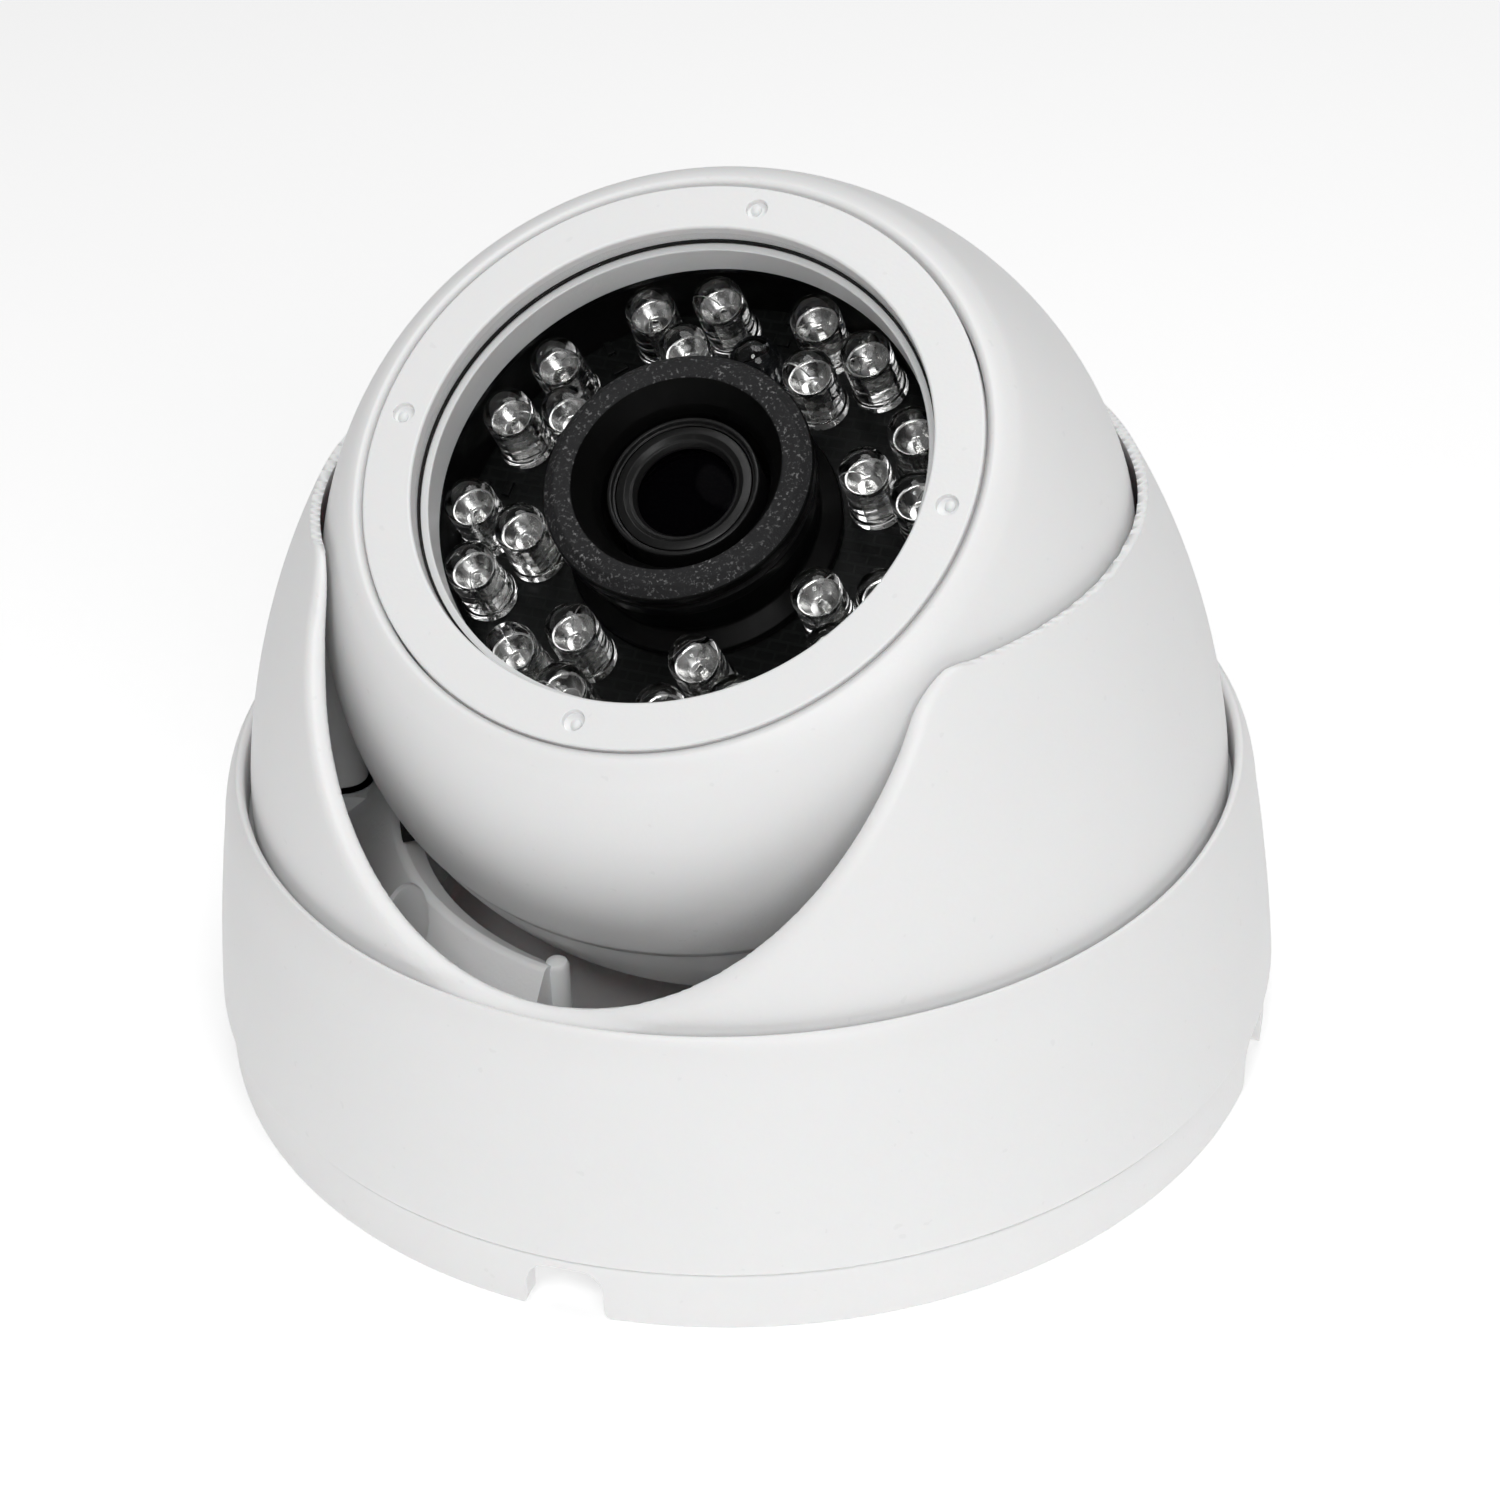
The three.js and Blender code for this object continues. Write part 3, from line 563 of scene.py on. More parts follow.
def piece(name, mesh, matrix, body, slot, finishes, *nodes, soften=0.0):
    """Makes a finished piece of the object from a bmesh or a bare object."""
    thing = mesh if isinstance(mesh, bpy.types.Object) else bare(name, mesh)
    thing.name = name
    thing.data.name = name
    thing.data.transform(matrix)
    for finish in finishes:
        thing.data.materials.append(finish.material)
    thing.data.polygons.foreach_set("use_smooth", [True] * len(thing.data.polygons))
    if soften:
        edges = thing.modifiers.new("edges", "BEVEL")
        edges.width = soften * MM
        edges.segments = 3
        edges.limit_method = "ANGLE"
        edges.angle_limit = math.radians(38)
    shading = thing.modifiers.new("shading", "WEIGHTED_NORMAL")
    shading.keep_sharp = False
    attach(thing, body)
    if nodes:
        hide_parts(*nodes)
    return thing


# ---------------------------------------------------------------- base


def notch_cutter(degrees):
    half = NOTCH_WIDTH / 2
    outline = (
        Outline(-half - 3, -3)
        .to(half + 3, -3)
        .to(half + 3, 0)
        .to(half, 0, 1.4)
        .to(half, NOTCH_HEIGHT, NOTCH_CORNER)
        .to(-half, NOTCH_HEIGHT, NOTCH_CORNER)
        .to(-half, 0, 1.4)
        .to(-half - 3, 0)
        .close()
    )
    outline.round_corners(6)
    return extruded(outline.mesh, -PLATE_RADIUS - 4, PLATE_WALL + 4.3, turn(degrees))


def extruded(mesh, near, depth, matrix=None):
    """Fills a closed line in the XZ plane and draws it out along Y."""
    face = bmesh.ops.contextual_create(mesh, geom=mesh.edges[:])["faces"]
    made = bmesh.ops.extrude_face_region(mesh, geom=face)
    far = [part for part in made["geom"] if isinstance(part, bmesh.types.BMVert)]
    bmesh.ops.translate(mesh, vec=(0, near, 0), verts=mesh.verts)
    bmesh.ops.translate(mesh, vec=(0, depth, 0), verts=far)
    bmesh.ops.recalc_face_normals(mesh, faces=mesh.faces)
    return moved(mesh, matrix) if matrix is not None else mesh


def slot_cutter(degrees):
    length, width = SLOT_SIZE
    low, high = PLATE_FLOOR
    mesh = block(length, width, low - 1, high + 1, 0, -SLOT_RADIUS)
    upright = [e for e in mesh.edges if abs(e.verts[0].co.z - e.verts[1].co.z) > 1]
    bevel(mesh, upright, width / 2 - 0.01, 8)
    return moved(mesh, turn(degrees))


def base_plate():
    low, high = PLATE_FLOOR
    inner = PLATE_RADIUS - PLATE_WALL
    track_in, track_out, track_top = TRACK
    outline = (
        Outline(CABLE_HOLE, low, 0.3)
        .to(inner, low, 0.6)
        .to(inner, 0, 0.5)
        .to(PLATE_RADIUS - 0.05, 0, 0.7)
        .to(PLATE_RADIUS, PLATE_TOP, 0.25)
        .to(inner, PLATE_TOP, 0.2)
        .to(inner, high)
        .to(track_out, high, 0.3)
        .to(track_out, track_top, 0.4)
        .to(track_in, track_top, 0.4)
        .to(track_in, high, 0.3)
        .to(CABLE_HOLE, high, 0.3)
        .close()
    )
    plate = bare("base_plate", outline.turned(ROUND))
    cutters = [notch_cutter(NOTCH_TURN + 90 * i) for i in range(4)]
    cutters += [slot_cutter(NOTCH_TURN + 60 + 120 * i) for i in range(3)]
    carved(plate, cutters)
    piece("base_plate_moulding", plate, ON_BASE, "base", "white_shell", [WHITE], "base_plate", soften=0.3)


def base_cover():
    shoulder_r, shoulder_z = COVER_SHOULDER
    foot = 7.05
    inner_foot = COVER_FOOT - 1.6
    tongue = PLATE_RADIUS - PLATE_WALL - 0.3
    bulge = ((COVER_FOOT + shoulder_r) / 2 + 0.45, (foot + shoulder_z) / 2)
    mesh = (
        Outline(COVER_FOOT - 0.35, foot)
        .curve((COVER_FOOT, foot), (COVER_FOOT, foot + 0.4), 3)
        .curve(bulge, COVER_SHOULDER, 14)
        .curve((shoulder_r - 0.45, COVER_TOP - 1.2), (COVER_RIM + 0.15, COVER_TOP - 0.08), 12)
        .curve((COVER_RIM - 0.25, COVER_TOP + 0.02), (LIP_RADIUS + 0.12, COVER_TOP - 0.5), 6)
        .curve((LIP_RADIUS, COVER_TOP - 0.8), (LIP_RADIUS, COVER_TOP - 1.6), 4)
        .to(LIP_RADIUS, 27.0, 0.2)
        .to(50.45, 27.0)
        .to(50.45, 24.0, 0.4)
        .to(inner_foot, foot + 3)
        .to(tongue - 1.5, foot)
        .to(tongue - 1.5, 6.9, 0.2)
        .to(tongue, 6.9, 0.2)
        .to(tongue, foot)
        .close()
        .turned(ROUND)
    )
    piece("base_cover_moulding", mesh, ON_BASE, "base", "white_shell", [WHITE], "base_cover")


def cable_grommet():
    low, high = (corner.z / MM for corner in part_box("cable_grommet"))
    plate_low, plate_high = PLATE_FLOOR
    lip = CABLE_HOLE + 1.6
    mesh = (
        Outline(4.5, low, 0.35)
        .to(lip, low, 0.4)
        .to(lip, plate_low - 0.1, 0.1)
        .to(CABLE_HOLE - 0.2, plate_low - 0.1)
        .to(CABLE_HOLE - 0.2, plate_high + 0.1)
        .to(lip, plate_high + 0.1, 0.1)
        .to(lip - 0.3, high, 0.3)
        .to(4.5, high, 0.35)
        .close()
        .turned(SMALL)
    )
    piece("cable_grommet_rubber", mesh, ON_BASE, "base", "black_rubber", [RUBBER], "cable_grommet")


# ---------------------------------------------------------------- turret


def quadratic(start, control, end, count):
    t = np.linspace(0, 1, count)[:, None]
    start, control, end = (np.array(p, float) for p in (start, control, end))
    return (1 - t) ** 2 * start + 2 * t * (1 - t) * control + t**2 * end


def rounded_overlap(a, b, radius):
    """The overlap of two solids given by signed distances, with its edge rounded to a radius."""
    reach = np.hypot(np.maximum(radius + a, 0), np.maximum(radius + b, 0))
    return np.minimum(-radius, np.maximum(a, b)) + reach


def turret_distance(p):
    """How far points lie outside the turret's wall, in millimetres; negative within it."""
    x, y, z = p.T
    far_away = -50.0
    curve = quadratic(TURRET_FOOT, TURRET_WAIST, TURRET_APEX, 200)
    inset = TURRET_FOOT[0] - curve[:, 0]
    below = np.linspace(-8, 0, 40, endpoint=False)
    heights = np.concatenate([TURRET_FOOT[1] + below, curve[:, 1]])
    inset = np.concatenate([below * inset[1] / (curve[1, 1] - curve[0, 1]), inset])
    inset = (inset + np.hypot(inset, 0.3)) / 2
    outer_r = np.interp(z, heights, TURRET_FOOT[0] - inset)
    slope = np.interp(z, heights, -np.gradient(inset, heights))
    upright = 1 / np.sqrt(1 + slope**2)
    radius = np.hypot(x, y)
    outer = (radius - outer_r) * upright
    inner = (outer_r - radius) * upright - TURRET_WALL
    seat = SEAT_RADIUS - np.sqrt(radius**2 + (z - BALL_HEIGHT) ** 2)
    opening = np.where(y < 0, OPENING_RADIUS - np.hypot(x, z - OPENING_HEIGHT), far_away)
    top = z - TURRET_TOP
    near_opening = np.clip((opening + 7) / 6, 0, 1)
    cut = rounded_overlap(top, opening, OPENING_CORNER)
    inside = rounded_overlap(seat, inner, SEAT_ROUNDING)
    # The roundings shrink where the wall is thin.
    wall = np.clip(-(outer + inside) / TURRET_WALL, 0.2, 1)
    rounding = wall * (EDGE_ROUNDING + (LIP_ROUNDING - EDGE_ROUNDING) * near_opening)
    outside = rounded_overlap(outer, cut, rounding)
    return rounded_overlap(outside, np.maximum(inside, TURRET_LOW - z), INNER_ROUNDING * wall)


def settled(points, distance, rounds):
    """Moves points onto the surface where a distance is zero."""
    step = 1e-3
    for _ in range(rounds):
        here = distance(points)
        slopes = [distance(points + step * np.eye(3)[axis]) - here for axis in range(3)]
        slope = np.stack(slopes, axis=1) / step
        size = np.maximum((slope**2).sum(axis=1), 0.05)
        move = -(here / size)[:, None] * slope
        length = np.linalg.norm(move, axis=1, keepdims=True)
        points = points + move * np.minimum(1, LONGEST_STEP / np.maximum(length, 1e-9))
    return points


def opening_cutter():
    reach = OPENING_RADIUS + 12
    outline = Outline(OPENING_RADIUS, OPENING_HEIGHT).arc(0, OPENING_HEIGHT, -180, 48)
    outline.to(-reach, OPENING_HEIGHT).to(-reach, OPENING_HEIGHT + 8).to(reach, OPENING_HEIGHT + 8)
    return extruded(outline.to(reach, OPENING_HEIGHT).close().mesh, -60, 60)


def settle(mesh, rounds):
    points = settled(np.array([vert.co for vert in mesh.verts]), turret_distance, rounds)
    for vert, point in zip(mesh.verts, points):
        vert.co = point


def turret_wall():
    """The turret's wall: an even grid of points, moved onto the exact rounded surface."""
    curve = quadratic(TURRET_FOOT, TURRET_WAIST, TURRET_APEX, 24)
    rise = [(r, z) for r, z in curve if z < TURRET_TOP]
    outline = Outline(TURRET_FOOT[0], TURRET_LOW)
    for r, z in rise:
        outline.to(r, z)
    for r, z in reversed(rise):
        outline.to(max(r - TURRET_WALL, math.sqrt(SEAT_RADIUS**2 - (z - BALL_HEIGHT) ** 2)), z)
    outline.to(TURRET_FOOT[0] - TURRET_WALL, TURRET_LOW).close()
    wall = carved(bare("turret", outline.turned(ROUND)), [opening_cutter()])
    grid = wall.modifiers.new("grid", "REMESH")
    grid.mode = "VOXEL"
    grid.voxel_size = GRID
    mesh = taken(applied(wall))
    for rounds in SETTLING_ROUNDS:
        settle(mesh, rounds)
        for _ in range(RELAXING_ROUNDS):
            bmesh.ops.smooth_vert(
                mesh, verts=mesh.verts, factor=0.5, use_axis_x=True, use_axis_y=True, use_axis_z=True
            )
    settle(mesh, LAST_ROUNDS)
    return mesh


def turret():
    inner, outer, low, high = FLANGE
    flange = Outline(inner, low, 0.2).to(outer, low, 0.3).to(outer, high, 0.3).to(inner, high).close()
    parts = [turret_wall(), flange.turned(ROUND)]
    for angle in LUG_ANGLES:
        x, y = around(LUG_CIRCLE, angle)
        parts.append(rod(2.5, 21.3, 44, x, y, edge=0.2))
        parts.append(moved(block(1.6, 4.6, 21.5, 40, 0, -LUG_CIRCLE - 2.2, edge=0.2), turn(angle)))
    piece("turret_collar", joined(*parts), ON_BASE, "turret", "white_shell", [WHITE], "turret")


def ring_sector(start, end):
    """A stretch of the ball ring's upper wall: a skirt that swells out to the lugs, a crest and a seat."""
    foot = RING_TOP - RING_SKIRT
    outline = (
        Outline(RING_INNER, RING_BRIDGE - 1)
        .to(RING_OUTER, RING_BRIDGE - 1)
        .to(RING_OUTER, foot - RING_FLARE, 0.3)
        .to(RING_OUTER + RING_FLARE, foot, 0.4)
        .to(RING_OUTER, RING_TOP, 0.7)
        .to(RING_OUTER - 0.8, RING_TOP, 0.4)
        .to(RING_INNER, RING_TOP - 1.5, 0.3)
        .close()
    )
    mesh = moved(outline.turned(round((end - start) / 2), degrees=end - start), turn(start - 90))
    for vert in mesh.verts:
        angle = math.degrees(math.atan2(vert.co.x, -vert.co.y))
        swell = sum(math.exp(-(((angle - lug) / 16) ** 2)) for lug in LUG_ANGLES)
        radius = math.hypot(vert.co.x, vert.co.y)
        if radius > RING_OUTER:
            stretch = 1 + 0.9 * swell * (radius - RING_OUTER) / radius
            vert.co.x *= stretch
            vert.co.y *= stretch
    return mesh


def recess_cutter():
    """A round tool that stands square on the ring's skirt."""
    angle, down, radius, depth = RECESS
    tilt = math.atan2(RING_SKIRT, RING_FLARE)
    stand = shift(0, -RING_OUTER - down * math.cos(tilt), RING_TOP - down * math.sin(tilt))
    return moved(rod(radius, -depth, 4), turn(angle) @ stand @ Matrix.Rotation(tilt, 4, "X"))


def ball_ring():
    edge = 0.3
    lower = Outline(RING_INNER, RING_LOW, edge).to(RING_OUTER, RING_LOW, edge)
    lower.to(RING_OUTER, RING_BRIDGE, edge).to(RING_INNER, RING_BRIDGE, edge)
    parts = [lower.close().turned(ROUND)]
    parts += [ring_sector(*RING_RIGHT), ring_sector(*RING_LEFT)]
    for angle in LUG_ANGLES:
        x, y = around(LUG_CIRCLE, angle)
        reach = LUG_CIRCLE - RING_OUTER + 0.5
        arm = block(6.8, reach, 18.8, 21, 0, -LUG_CIRCLE + reach / 2, edge=0.3)
        parts += [moved(arm, turn(angle)), rod(3.4, 18.8, 21, x, y, edge=0.3)]
    for angle in (RING_RIGHT[0], RING_LEFT[1]):
        x, y = around(RING_INNER + 0.8, angle)
        parts.append(rod(1.2, RING_TOP - 7, RING_TOP - 0.05, x, y, sides=24, edge=0.7))
    ring = carved(bare("ball_ring", joined(*parts)), [recess_cutter()])
    slot = "white_inner"
    # The ball ring takes the brighter copy of the shell white: painted light for its shaded place under
    # the ball.
    piece("ball_ring_moulding", ring, ON_BASE, "turret", slot, [RING_WHITE_PAINTED_BRIGHTER], "ball_ring", soften=0.2)


# ---------------------------------------------------------------- head shells


def front_shell():
    face_r = math.sqrt(BALL_RADIUS**2 - FACE**2)
    seam = SEAM + 0.15
    start = math.degrees(math.asin(seam / BALL_RADIUS))
    stop = math.degrees(math.asin((FACE - 1.6) / BALL_RADIUS))
    inner = BALL_RADIUS - 2.3
    first = (math.sqrt(BALL_RADIUS**2 - seam**2), seam)
    mesh = (
        Outline(*first)
        .arc(0, 0, stop - start, 30)
        .curve((face_r - 0.3, FACE - 0.12), (BEZEL_RADIUS + 0.7, FACE), 8)
        .to(BEZEL_RADIUS + 0.15, FACE - 0.35)
        .to(BEZEL_RADIUS + 0.15, FACE - BEZEL_THICK - 0.3)
        .to(26, FACE - BEZEL_THICK - 0.3, 0.2)
        .to(26, 18.9, 0.3)
        .to(math.sqrt(inner**2 - 18.9**2), 18.9)
        .arc(0, 0, -math.degrees(math.asin(18.9 / inner) - math.asin(seam / inner)), 14)
        .close()
        .turned(ROUND)
    )
    piece("front_shell_moulding", mesh, ON_HEAD, "head", "white_shell", [WHITE], "front_shell")


def rear_shell():
    outer, inner = BALL_RADIUS - 0.2, BALL_RADIUS - 2.3
    seam, hole = SEAM - 0.15, 4.3
    low = math.degrees(math.acos(hole / outer))
    low_inner = math.degrees(math.acos(hole / inner))
    outline = Outline(inner - 0.3, seam).to(math.sqrt(outer**2 - seam**2) - 0.12, seam)
    outline.to(math.sqrt(outer**2 - (seam - 0.12) ** 2), seam - 0.12)
    outline.arc(0, 0, -low - math.degrees(math.asin((seam - 0.12) / outer)), 40)
    outline.to(hole, -math.sqrt(inner**2 - hole**2)).arc(0, 0, low_inner - 8, 24)
    outline.to(inner - 1.7, -2).to(inner - 1.7, 3.25, 0.2).to(inner - 0.3, 3.25, 0.2)
    shell = bare("rear_shell", outline.close().turned(ROUND))
    wells = []
    for angle in SCREW_ANGLES:
        x, y = around(SCREW_CIRCLE, angle)
        wells.append(rod(2.8, -BALL_RADIUS, SCREW_SEAT, x, y, sides=32))
    parts = [taken(carved(shell, wells))]
    for angle in SCREW_ANGLES:
        x, y = around(SCREW_CIRCLE, angle)
        well = Outline(2.8, -28.5).to(3.6, -28.0).to(3.6, SCREW_SEAT + 1.5).to(1.4, SCREW_SEAT + 1.5)
        parts.append(moved(well.to(1.4, SCREW_SEAT).to(2.8, SCREW_SEAT).close().turned(32), shift(x, y)))
    mesh = joined(*parts)
    piece("rear_shell_moulding", mesh, ON_HEAD, "head", "white_shell", [WHITE], "rear_shell", soften=0.2)


def tail_boot():
    mesh = (
        Outline(2.4, -40.8, 0.3)
        .to(3.9, -40.8, 0.6)
        .to(3.9, -38.6, 0.2)
        .to(3.5, -38.4, 0.2)
        .to(3.5, -37.2)
        .to(5.4, -37.0, 0.2)
        .to(5.4, -35.8, 0.3)
        .to(2.4, -35.8, 0.3)
        .close()
        .turned(SMALL)
    )
    piece("tail_boot_rubber", mesh, ON_HEAD, "tail", "black_rubber", [RUBBER], "tail_boot")


# ---------------------------------------------------------------- bezel, gasket and window


def bezel_ring():
    ledge = BEZEL_BORE - 0.95
    mesh = (
        Outline(BEZEL_BORE, FACE, 0.3)
        .to(BEZEL_RADIUS - 0.05, FACE, 0.25)
        .to(BEZEL_RADIUS - 0.05, FACE - BEZEL_THICK)
        .to(25.7, FACE - BEZEL_THICK)
        .to(25.7, FACE - 6)
        .to(ledge, FACE - 6, 0.2)
        .to(ledge, FACE - 2.5, 0.15)
        .to(BEZEL_BORE, FACE - 2.5)
        .close()
        .turned(ROUND)
    )
    ring = bare("bezel_ring", mesh)
    dents = []
    for i in range(4):
        x, y = around(DIMPLE_CIRCLE, 90 * i)
        dents.append(rod(1.05, FACE - 0.65, FACE + 1, x, y, sides=40))
    carved(ring, dents)
    blobs = []
    for i in range(4):
        x, y = around(DIMPLE_CIRCLE + 0.15, 90 * i + 0.4)
        blob = bmesh.new()
        bmesh.ops.create_uvsphere(blob, u_segments=20, v_segments=12, radius=0.52)
        bmesh.ops.scale(blob, vec=(1, 1.15, 0.75), verts=blob.verts)
        blobs.append(moved(blob, shift(x, y, FACE - 0.62)))
    mesh = joined(taken(ring), *blobs)
    piece("bezel_ring_moulding", mesh, ON_HEAD, "head", "white_shell", [WHITE], "bezel_ring", soften=0.1)


def window_gasket():
    low, high = FACE - 2.4, FACE - 2.0
    outer, inner = BEZEL_BORE - 0.05, BEZEL_BORE - 0.28
    outline = Outline(inner, low, 0.15).to(outer, low).to(outer, high).to(inner, high, 0.15)
    mesh = outline.close().turned(ROUND)
    piece("window_gasket_rubber", mesh, ON_HEAD, "head", "black_rubber", [RUBBER], "window_gasket")


def window_glass():
    mesh = rod(BEZEL_BORE - 0.3, WINDOW_TOP - WINDOW_THICK, WINDOW_TOP, sides=ROUND, edge=0.15)
    piece("window_pane", mesh, ON_HEAD, "head", "window_glass", [WINDOW], "window_glass")


# ---------------------------------------------------------------- lamp board and lamps


def lamp_board():
    low = BOARD_TOP - BOARD_THICK
    mesh = Outline(9.35, low, 0.1).to(26.5, low, 0.1).to(26.5, BOARD_TOP, 0.1).to(9.35, BOARD_TOP, 0.1)
    parts = [mesh.close().turned(ROUND)]
    for i in range(LAMP_GROUPS):
        angle = LAMP_PHASE + (i + 0.5) * 360 / LAMP_GROUPS
        for radius, width, depth in ((24.2, 1.6, 0.8), (21.4, 0.8, 1.6)):
            chip = block(width, depth, BOARD_TOP - 0.1, BOARD_TOP + 0.45, radius, 0, edge=0.08)
            parts.append(moved(chip, turn(angle)))
    piece("lamp_board_assembly", joined(*parts), ON_HEAD, "head", "circuit_board", [BOARD], "lamp_board")


def lamp_shroud():
    inner = 24.85
    low, high = BOARD_TOP + 0.05, FACE - 6.1
    mesh = Outline(inner, low).to(inner + 1.2, low).to(inner + 1.2, high, 0.1).to(inner - 0.7, high, 0.2)
    mesh = mesh.to(inner - 0.7, high - 0.8, 0.2).to(inner, high - 1.4).close().turned(ROUND)
    piece("lamp_shroud_moulding", mesh, ON_HEAD, "head", "black_plastic", [BLACK], "lamp_shroud")


def bulb(length):
    """A lamp's clear body: a flange, a straight barrel and a dome."""
    foot = BOARD_TOP + 0.3
    dome = foot + length - LAMP_RADIUS
    return (
        Outline(0, foot)
        .to(LAMP_FLANGE, foot, 0.12)
        .to(LAMP_FLANGE, foot + 1.0, 0.2)
        .to(LAMP_RADIUS, foot + 1.05, 0.1)
        .to(LAMP_RADIUS, dome)
        .arc(0, dome, 90, 12)
        .turned(40)
    )


def lamp_cup():
    """The reflector cup on its post, with a small chip at the bottom of the bowl."""
    foot = BOARD_TOP + 0.35
    bowl = foot + 5.3
    outline = Outline(0, bowl - 1.0).to(0.7, bowl - 1.0, 0.1).to(1.25, bowl, 0.08).to(1.1, bowl, 0.05)
    cup = outline.to(0.6, bowl - 0.55, 0.1).to(0, bowl - 0.55).turned(28)
    post = block(1.5, 0.5, foot, bowl - 0.9, 0.1, 0, edge=0.08)
    chip = block(0.42, 0.42, bowl - 0.57, bowl - 0.3, edge=0.04)
    return joined(cup, post, chip)


def lamp_wire():
    """The second post and the bond wire that reaches over to the chip."""
    foot = BOARD_TOP + 0.35
    tip = foot + 5.4
    post = block(0.55, 0.5, foot, tip, -1.75, 0, edge=0.08)
    wire = bmesh.new()
    bmesh.ops.create_circle(wire, cap_ends=False, segments=6, radius=0.05)
    moved(wire, shift(-1.7, 0, tip) @ turn(90, "Y"))
    bmesh.ops.spin(
        wire,
        geom=wire.verts[:] + wire.edges[:],
        cent=(-0.85, 0, tip),
        axis=(0, 1, 0),
        angle=math.radians(165),
        steps=10,
    )
    return joined(post, wire)


def lamp_places():
    """Middles of the lamps on the board, in node order."""
    for group in range(LAMP_GROUPS):
        middle = LAMP_PHASE + group * 360 / LAMP_GROUPS
        for circle, angle in ((21.8, middle - 9.2), (21.8, middle + 9.2), (16.7, middle)):
            yield circle * math.cos(math.radians(angle)), circle * math.sin(math.radians(angle))


def painted(mesh, index):
    for face in mesh.faces:
        face.material_index = index
    return mesh


def infrared_lamps():
    chance = random.Random(7)
    for i, (x, y) in enumerate(lamp_places(), 1):
        body = painted(bulb(8.6), 0)
        metal = painted(joined(lamp_cup(), lamp_wire()), 1)
        lean = turn(chance.uniform(-1.6, 1.6), "X") @ turn(chance.uniform(-1.6, 1.6), "Y")
        stand = shift(x, y, BOARD_TOP) @ lean @ shift(0, 0, -BOARD_TOP) @ turn(chance.uniform(0, 360))
        mesh = moved(joined(body, metal), stand)
        name = f"infrared_lamp_{i:02d}"
        piece(f"{name}_dome", mesh, ON_HEAD, "head", "lamp_epoxy", [EPOXY, SILVER], name)


def light_sensor():
    angle = math.radians(LAMP_PHASE + 1.5 * 360 / LAMP_GROUPS)
    x, y = 16.7 * math.cos(angle), 16.7 * math.sin(angle)
    body = painted(bulb(6.6), 0)
    plate = painted(rod(1.9, BOARD_TOP + 1.5, BOARD_TOP + 1.8, sides=32, edge=0.05), 1)
    mesh = moved(joined(body, plate), shift(x, y))
    piece("light_sensor_dome", mesh, ON_HEAD, "head", "sensor_epoxy", [SMOKED, CHIP], "light_sensor")


# ---------------------------------------------------------------- lens and hood


def lens_hood():
    front = WINDOW_TOP - WINDOW_THICK - 0.7
    low = BOARD_TOP + 0.3
    mesh = (
        Outline(HOOD_THROAT, low)
        .to(13.45, low, 0.2)
        .to(13.45, low + 0.9, 0.3)
        .to(HOOD_RADIUS - 1.5, low + 2.0, 0.5)
        .to(HOOD_RADIUS - 1.5, front - 5.4, 0.3)
        .to(HOOD_RADIUS - 0.2, front - 4.3, 0.25)
        .to(HOOD_RADIUS - 0.2, front - 3.1, 0.2)
        .to(HOOD_RADIUS - 0.8, front - 2.9, 0.1)
        .to(HOOD_RADIUS - 0.8, front - 2.3, 0.1)
        .to(HOOD_RADIUS, front - 2.1, 0.25)
        .to(HOOD_RADIUS, front - 1.0, 0.5)
        .to(HOOD_RADIUS - 1.2, front, 0.4)
        .to(HOOD_MOUTH, front - 0.1, 0.3)
        .to(HOOD_THROAT + 0.5, LENS_FRONT + 0.2, 0.4)
        .to(HOOD_THROAT, LENS_FRONT - 1, 0.2)
        .close()
        .turned(ROUND)
    )
    for face in mesh.faces:
        middle = face.calc_center_median()
        face.material_index = 0 if middle.z > front - 0.7 else 1
    piece("lens_hood_moulding", mesh, ON_HEAD, "head", "hood_foam", [HOOD, BLACK], "lens_hood")


def lens_barrel():
    shoulder = LENS_FRONT - 6
    end = head_box("lens_barrel")[0].z
    outline = Outline(3, end).to(LENS_THREAD, end, 0.1)
    turns = 9
    pitch = 0.5
    for i in range(turns):
        z = end + 0.6 + i * pitch
        outline.to(LENS_THREAD, z).to(LENS_THREAD - 0.25, z + pitch / 2)
    mesh = (
        outline.to(LENS_THREAD, end + 0.6 + turns * pitch)
        .to(LENS_THREAD, shoulder)
        .to(LENS_HEAD, shoulder, 0.2)
        .to(LENS_HEAD, LENS_FRONT, 0.3)
        .to(6.95, LENS_FRONT, 0.1)
        .to(6.85, LENS_FRONT - 0.45, 0.1)
        .to(6.65, LENS_FRONT - 0.45, 0.05)
        .to(6.65, LENS_FRONT - 4.8)
        .to(3, LENS_FRONT - 4.8)
        .close()
        .turned(FINE)
    )
    piece("lens_barrel_turned", mesh, ON_HEAD, "lens", "lens_metal", [ANODISED], "lens_barrel")


def lens_retainer():
    high = LENS_FRONT - 0.3
    mesh = (
        Outline(4.7, high - 1.1, 0.05)
        .to(6.55, high - 1.1)
        .to(6.55, high - 0.15, 0.1)
        .to(5.75, high, 0.1)
        .to(5.3, high - 0.35, 0.1)
        .to(5.05, high - 0.35, 0.08)
        .to(4.7, high - 0.9, 0.05)
        .close()
        .turned(FINE)
    )
    piece("lens_retainer_turned", mesh, ON_HEAD, "lens", "lens_metal", [ANODISED], "lens_retainer")


def lens_front_element():
    crown = LENS_FRONT - 1.35
    low = LENS_FRONT - 4.5
    curve = 15.0
    rise = math.degrees(math.asin(6.4 / curve))
    outline = Outline(0, low).to(6.4, low, 0.1)
    outline.to(6.4, crown - curve + curve * math.cos(math.radians(rise)))
    mesh = outline.arc(0, crown - curve, rise, 14).turned(FINE)
    piece("lens_front_glass", mesh, ON_HEAD, "lens", "lens_glass", [LENS_GLASS], "lens_front_element")


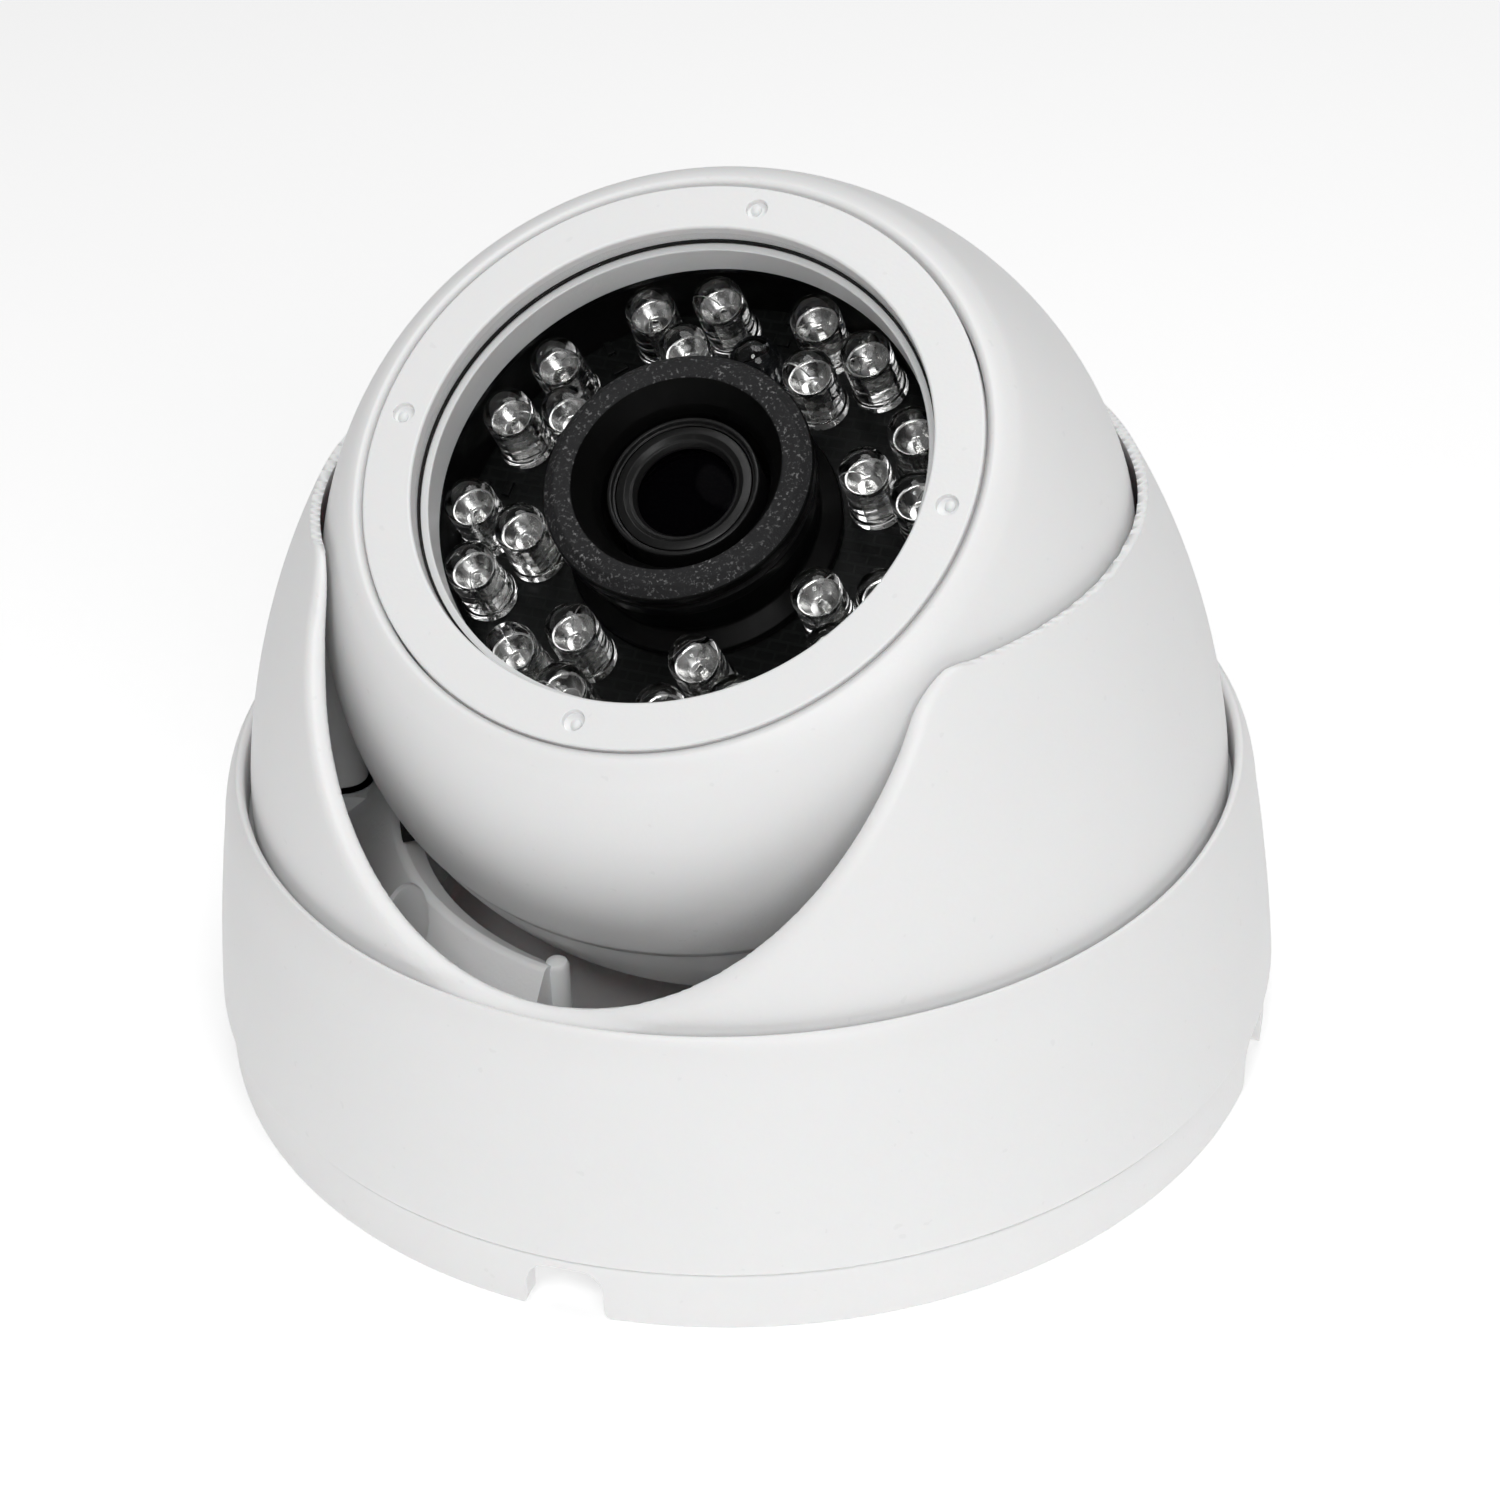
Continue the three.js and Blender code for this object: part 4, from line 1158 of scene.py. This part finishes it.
def paint(node, *finishes):
    """Gives a carried-over node its finish."""
    thing = frame["nodes"][node]
    thing.data.materials.clear()
    for finish in finishes:
        thing.data.materials.append(finish.material)


def hidden_works():
    """Pieces inside the shells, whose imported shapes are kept."""
    for node in frame["nodes"]:
        if node.startswith(("ring_screw", "head_screw")):
            paint(node, STEEL)
        elif node.startswith("friction_pad"):
            paint(node, RUBBER)
    for node in ("lens_lock_ring", "board_spacer_1", "board_spacer_2"):
        paint(node, BRASS)
    paint("head_seal", RUBBER)
    paint("lens_holder", BLACK)
    paint("image_board", BOARD)
    paint("image_sensor", CHIP)


base_plate()
base_cover()
cable_grommet()
turret()
ball_ring()
front_shell()
rear_shell()
tail_boot()
bezel_ring()
window_gasket()
window_glass()
lamp_board()
lamp_shroud()
infrared_lamps()
light_sensor()
lens_hood()
lens_barrel()
lens_retainer()
lens_front_element()
hidden_works()

# ---------------------------------------------------------------- floor and light


def floor():
    mesh = bmesh.new()
    bmesh.ops.create_circle(mesh, cap_ends=True, segments=64, radius=3)
    sheet = bare("floor", mesh)
    glow = {"Emission_Color": (1, 1, 1, 1), "Emission_Strength": 0.31}
    finish = Finish("paper white", (0.92, 0.92, 0.92), 0.9, **glow)
    finish.feed("Roughness", 0.85 + finish.noise(40) * 0.1)
    sheet.data.materials.append(finish.material)


def softbox(name, azimuth, elevation, distance, size, power):
    data = bpy.data.lights.new(name, "AREA")
    data.shape = "DISK"
    data.size = size
    data.energy = power
    lamp = bpy.data.objects.new(name, data)
    a, e = math.radians(azimuth), math.radians(elevation)
    way = Vector((math.sin(a) * math.cos(e), -math.cos(a) * math.cos(e), math.sin(e)))
    lamp.location = Vector((0, 0, 0.04)) + way * distance
    lamp.rotation_mode = "QUATERNION"
    lamp.rotation_quaternion = way.to_track_quat("Z", "Y")
    bpy.context.scene.collection.objects.link(lamp)


def sky(shade, strength):
    world = bpy.data.worlds.new("studio")
    world.use_nodes = True
    background = world.node_tree.nodes["Background"]
    background.inputs[0].default_value = (shade, shade, shade, 1)
    background.inputs[1].default_value = strength
    bpy.context.scene.world = world


floor()
softbox("top", 150, 82, 1.0, 0.8, 4.5)
softbox("key", 38, 30, 0.9, 0.45, 1.95)
softbox("front", 8, 50, 1.0, 0.3, 2.5)
sky(1.0, 0.14)
bpy.context.scene.view_settings.view_transform = "Standard"
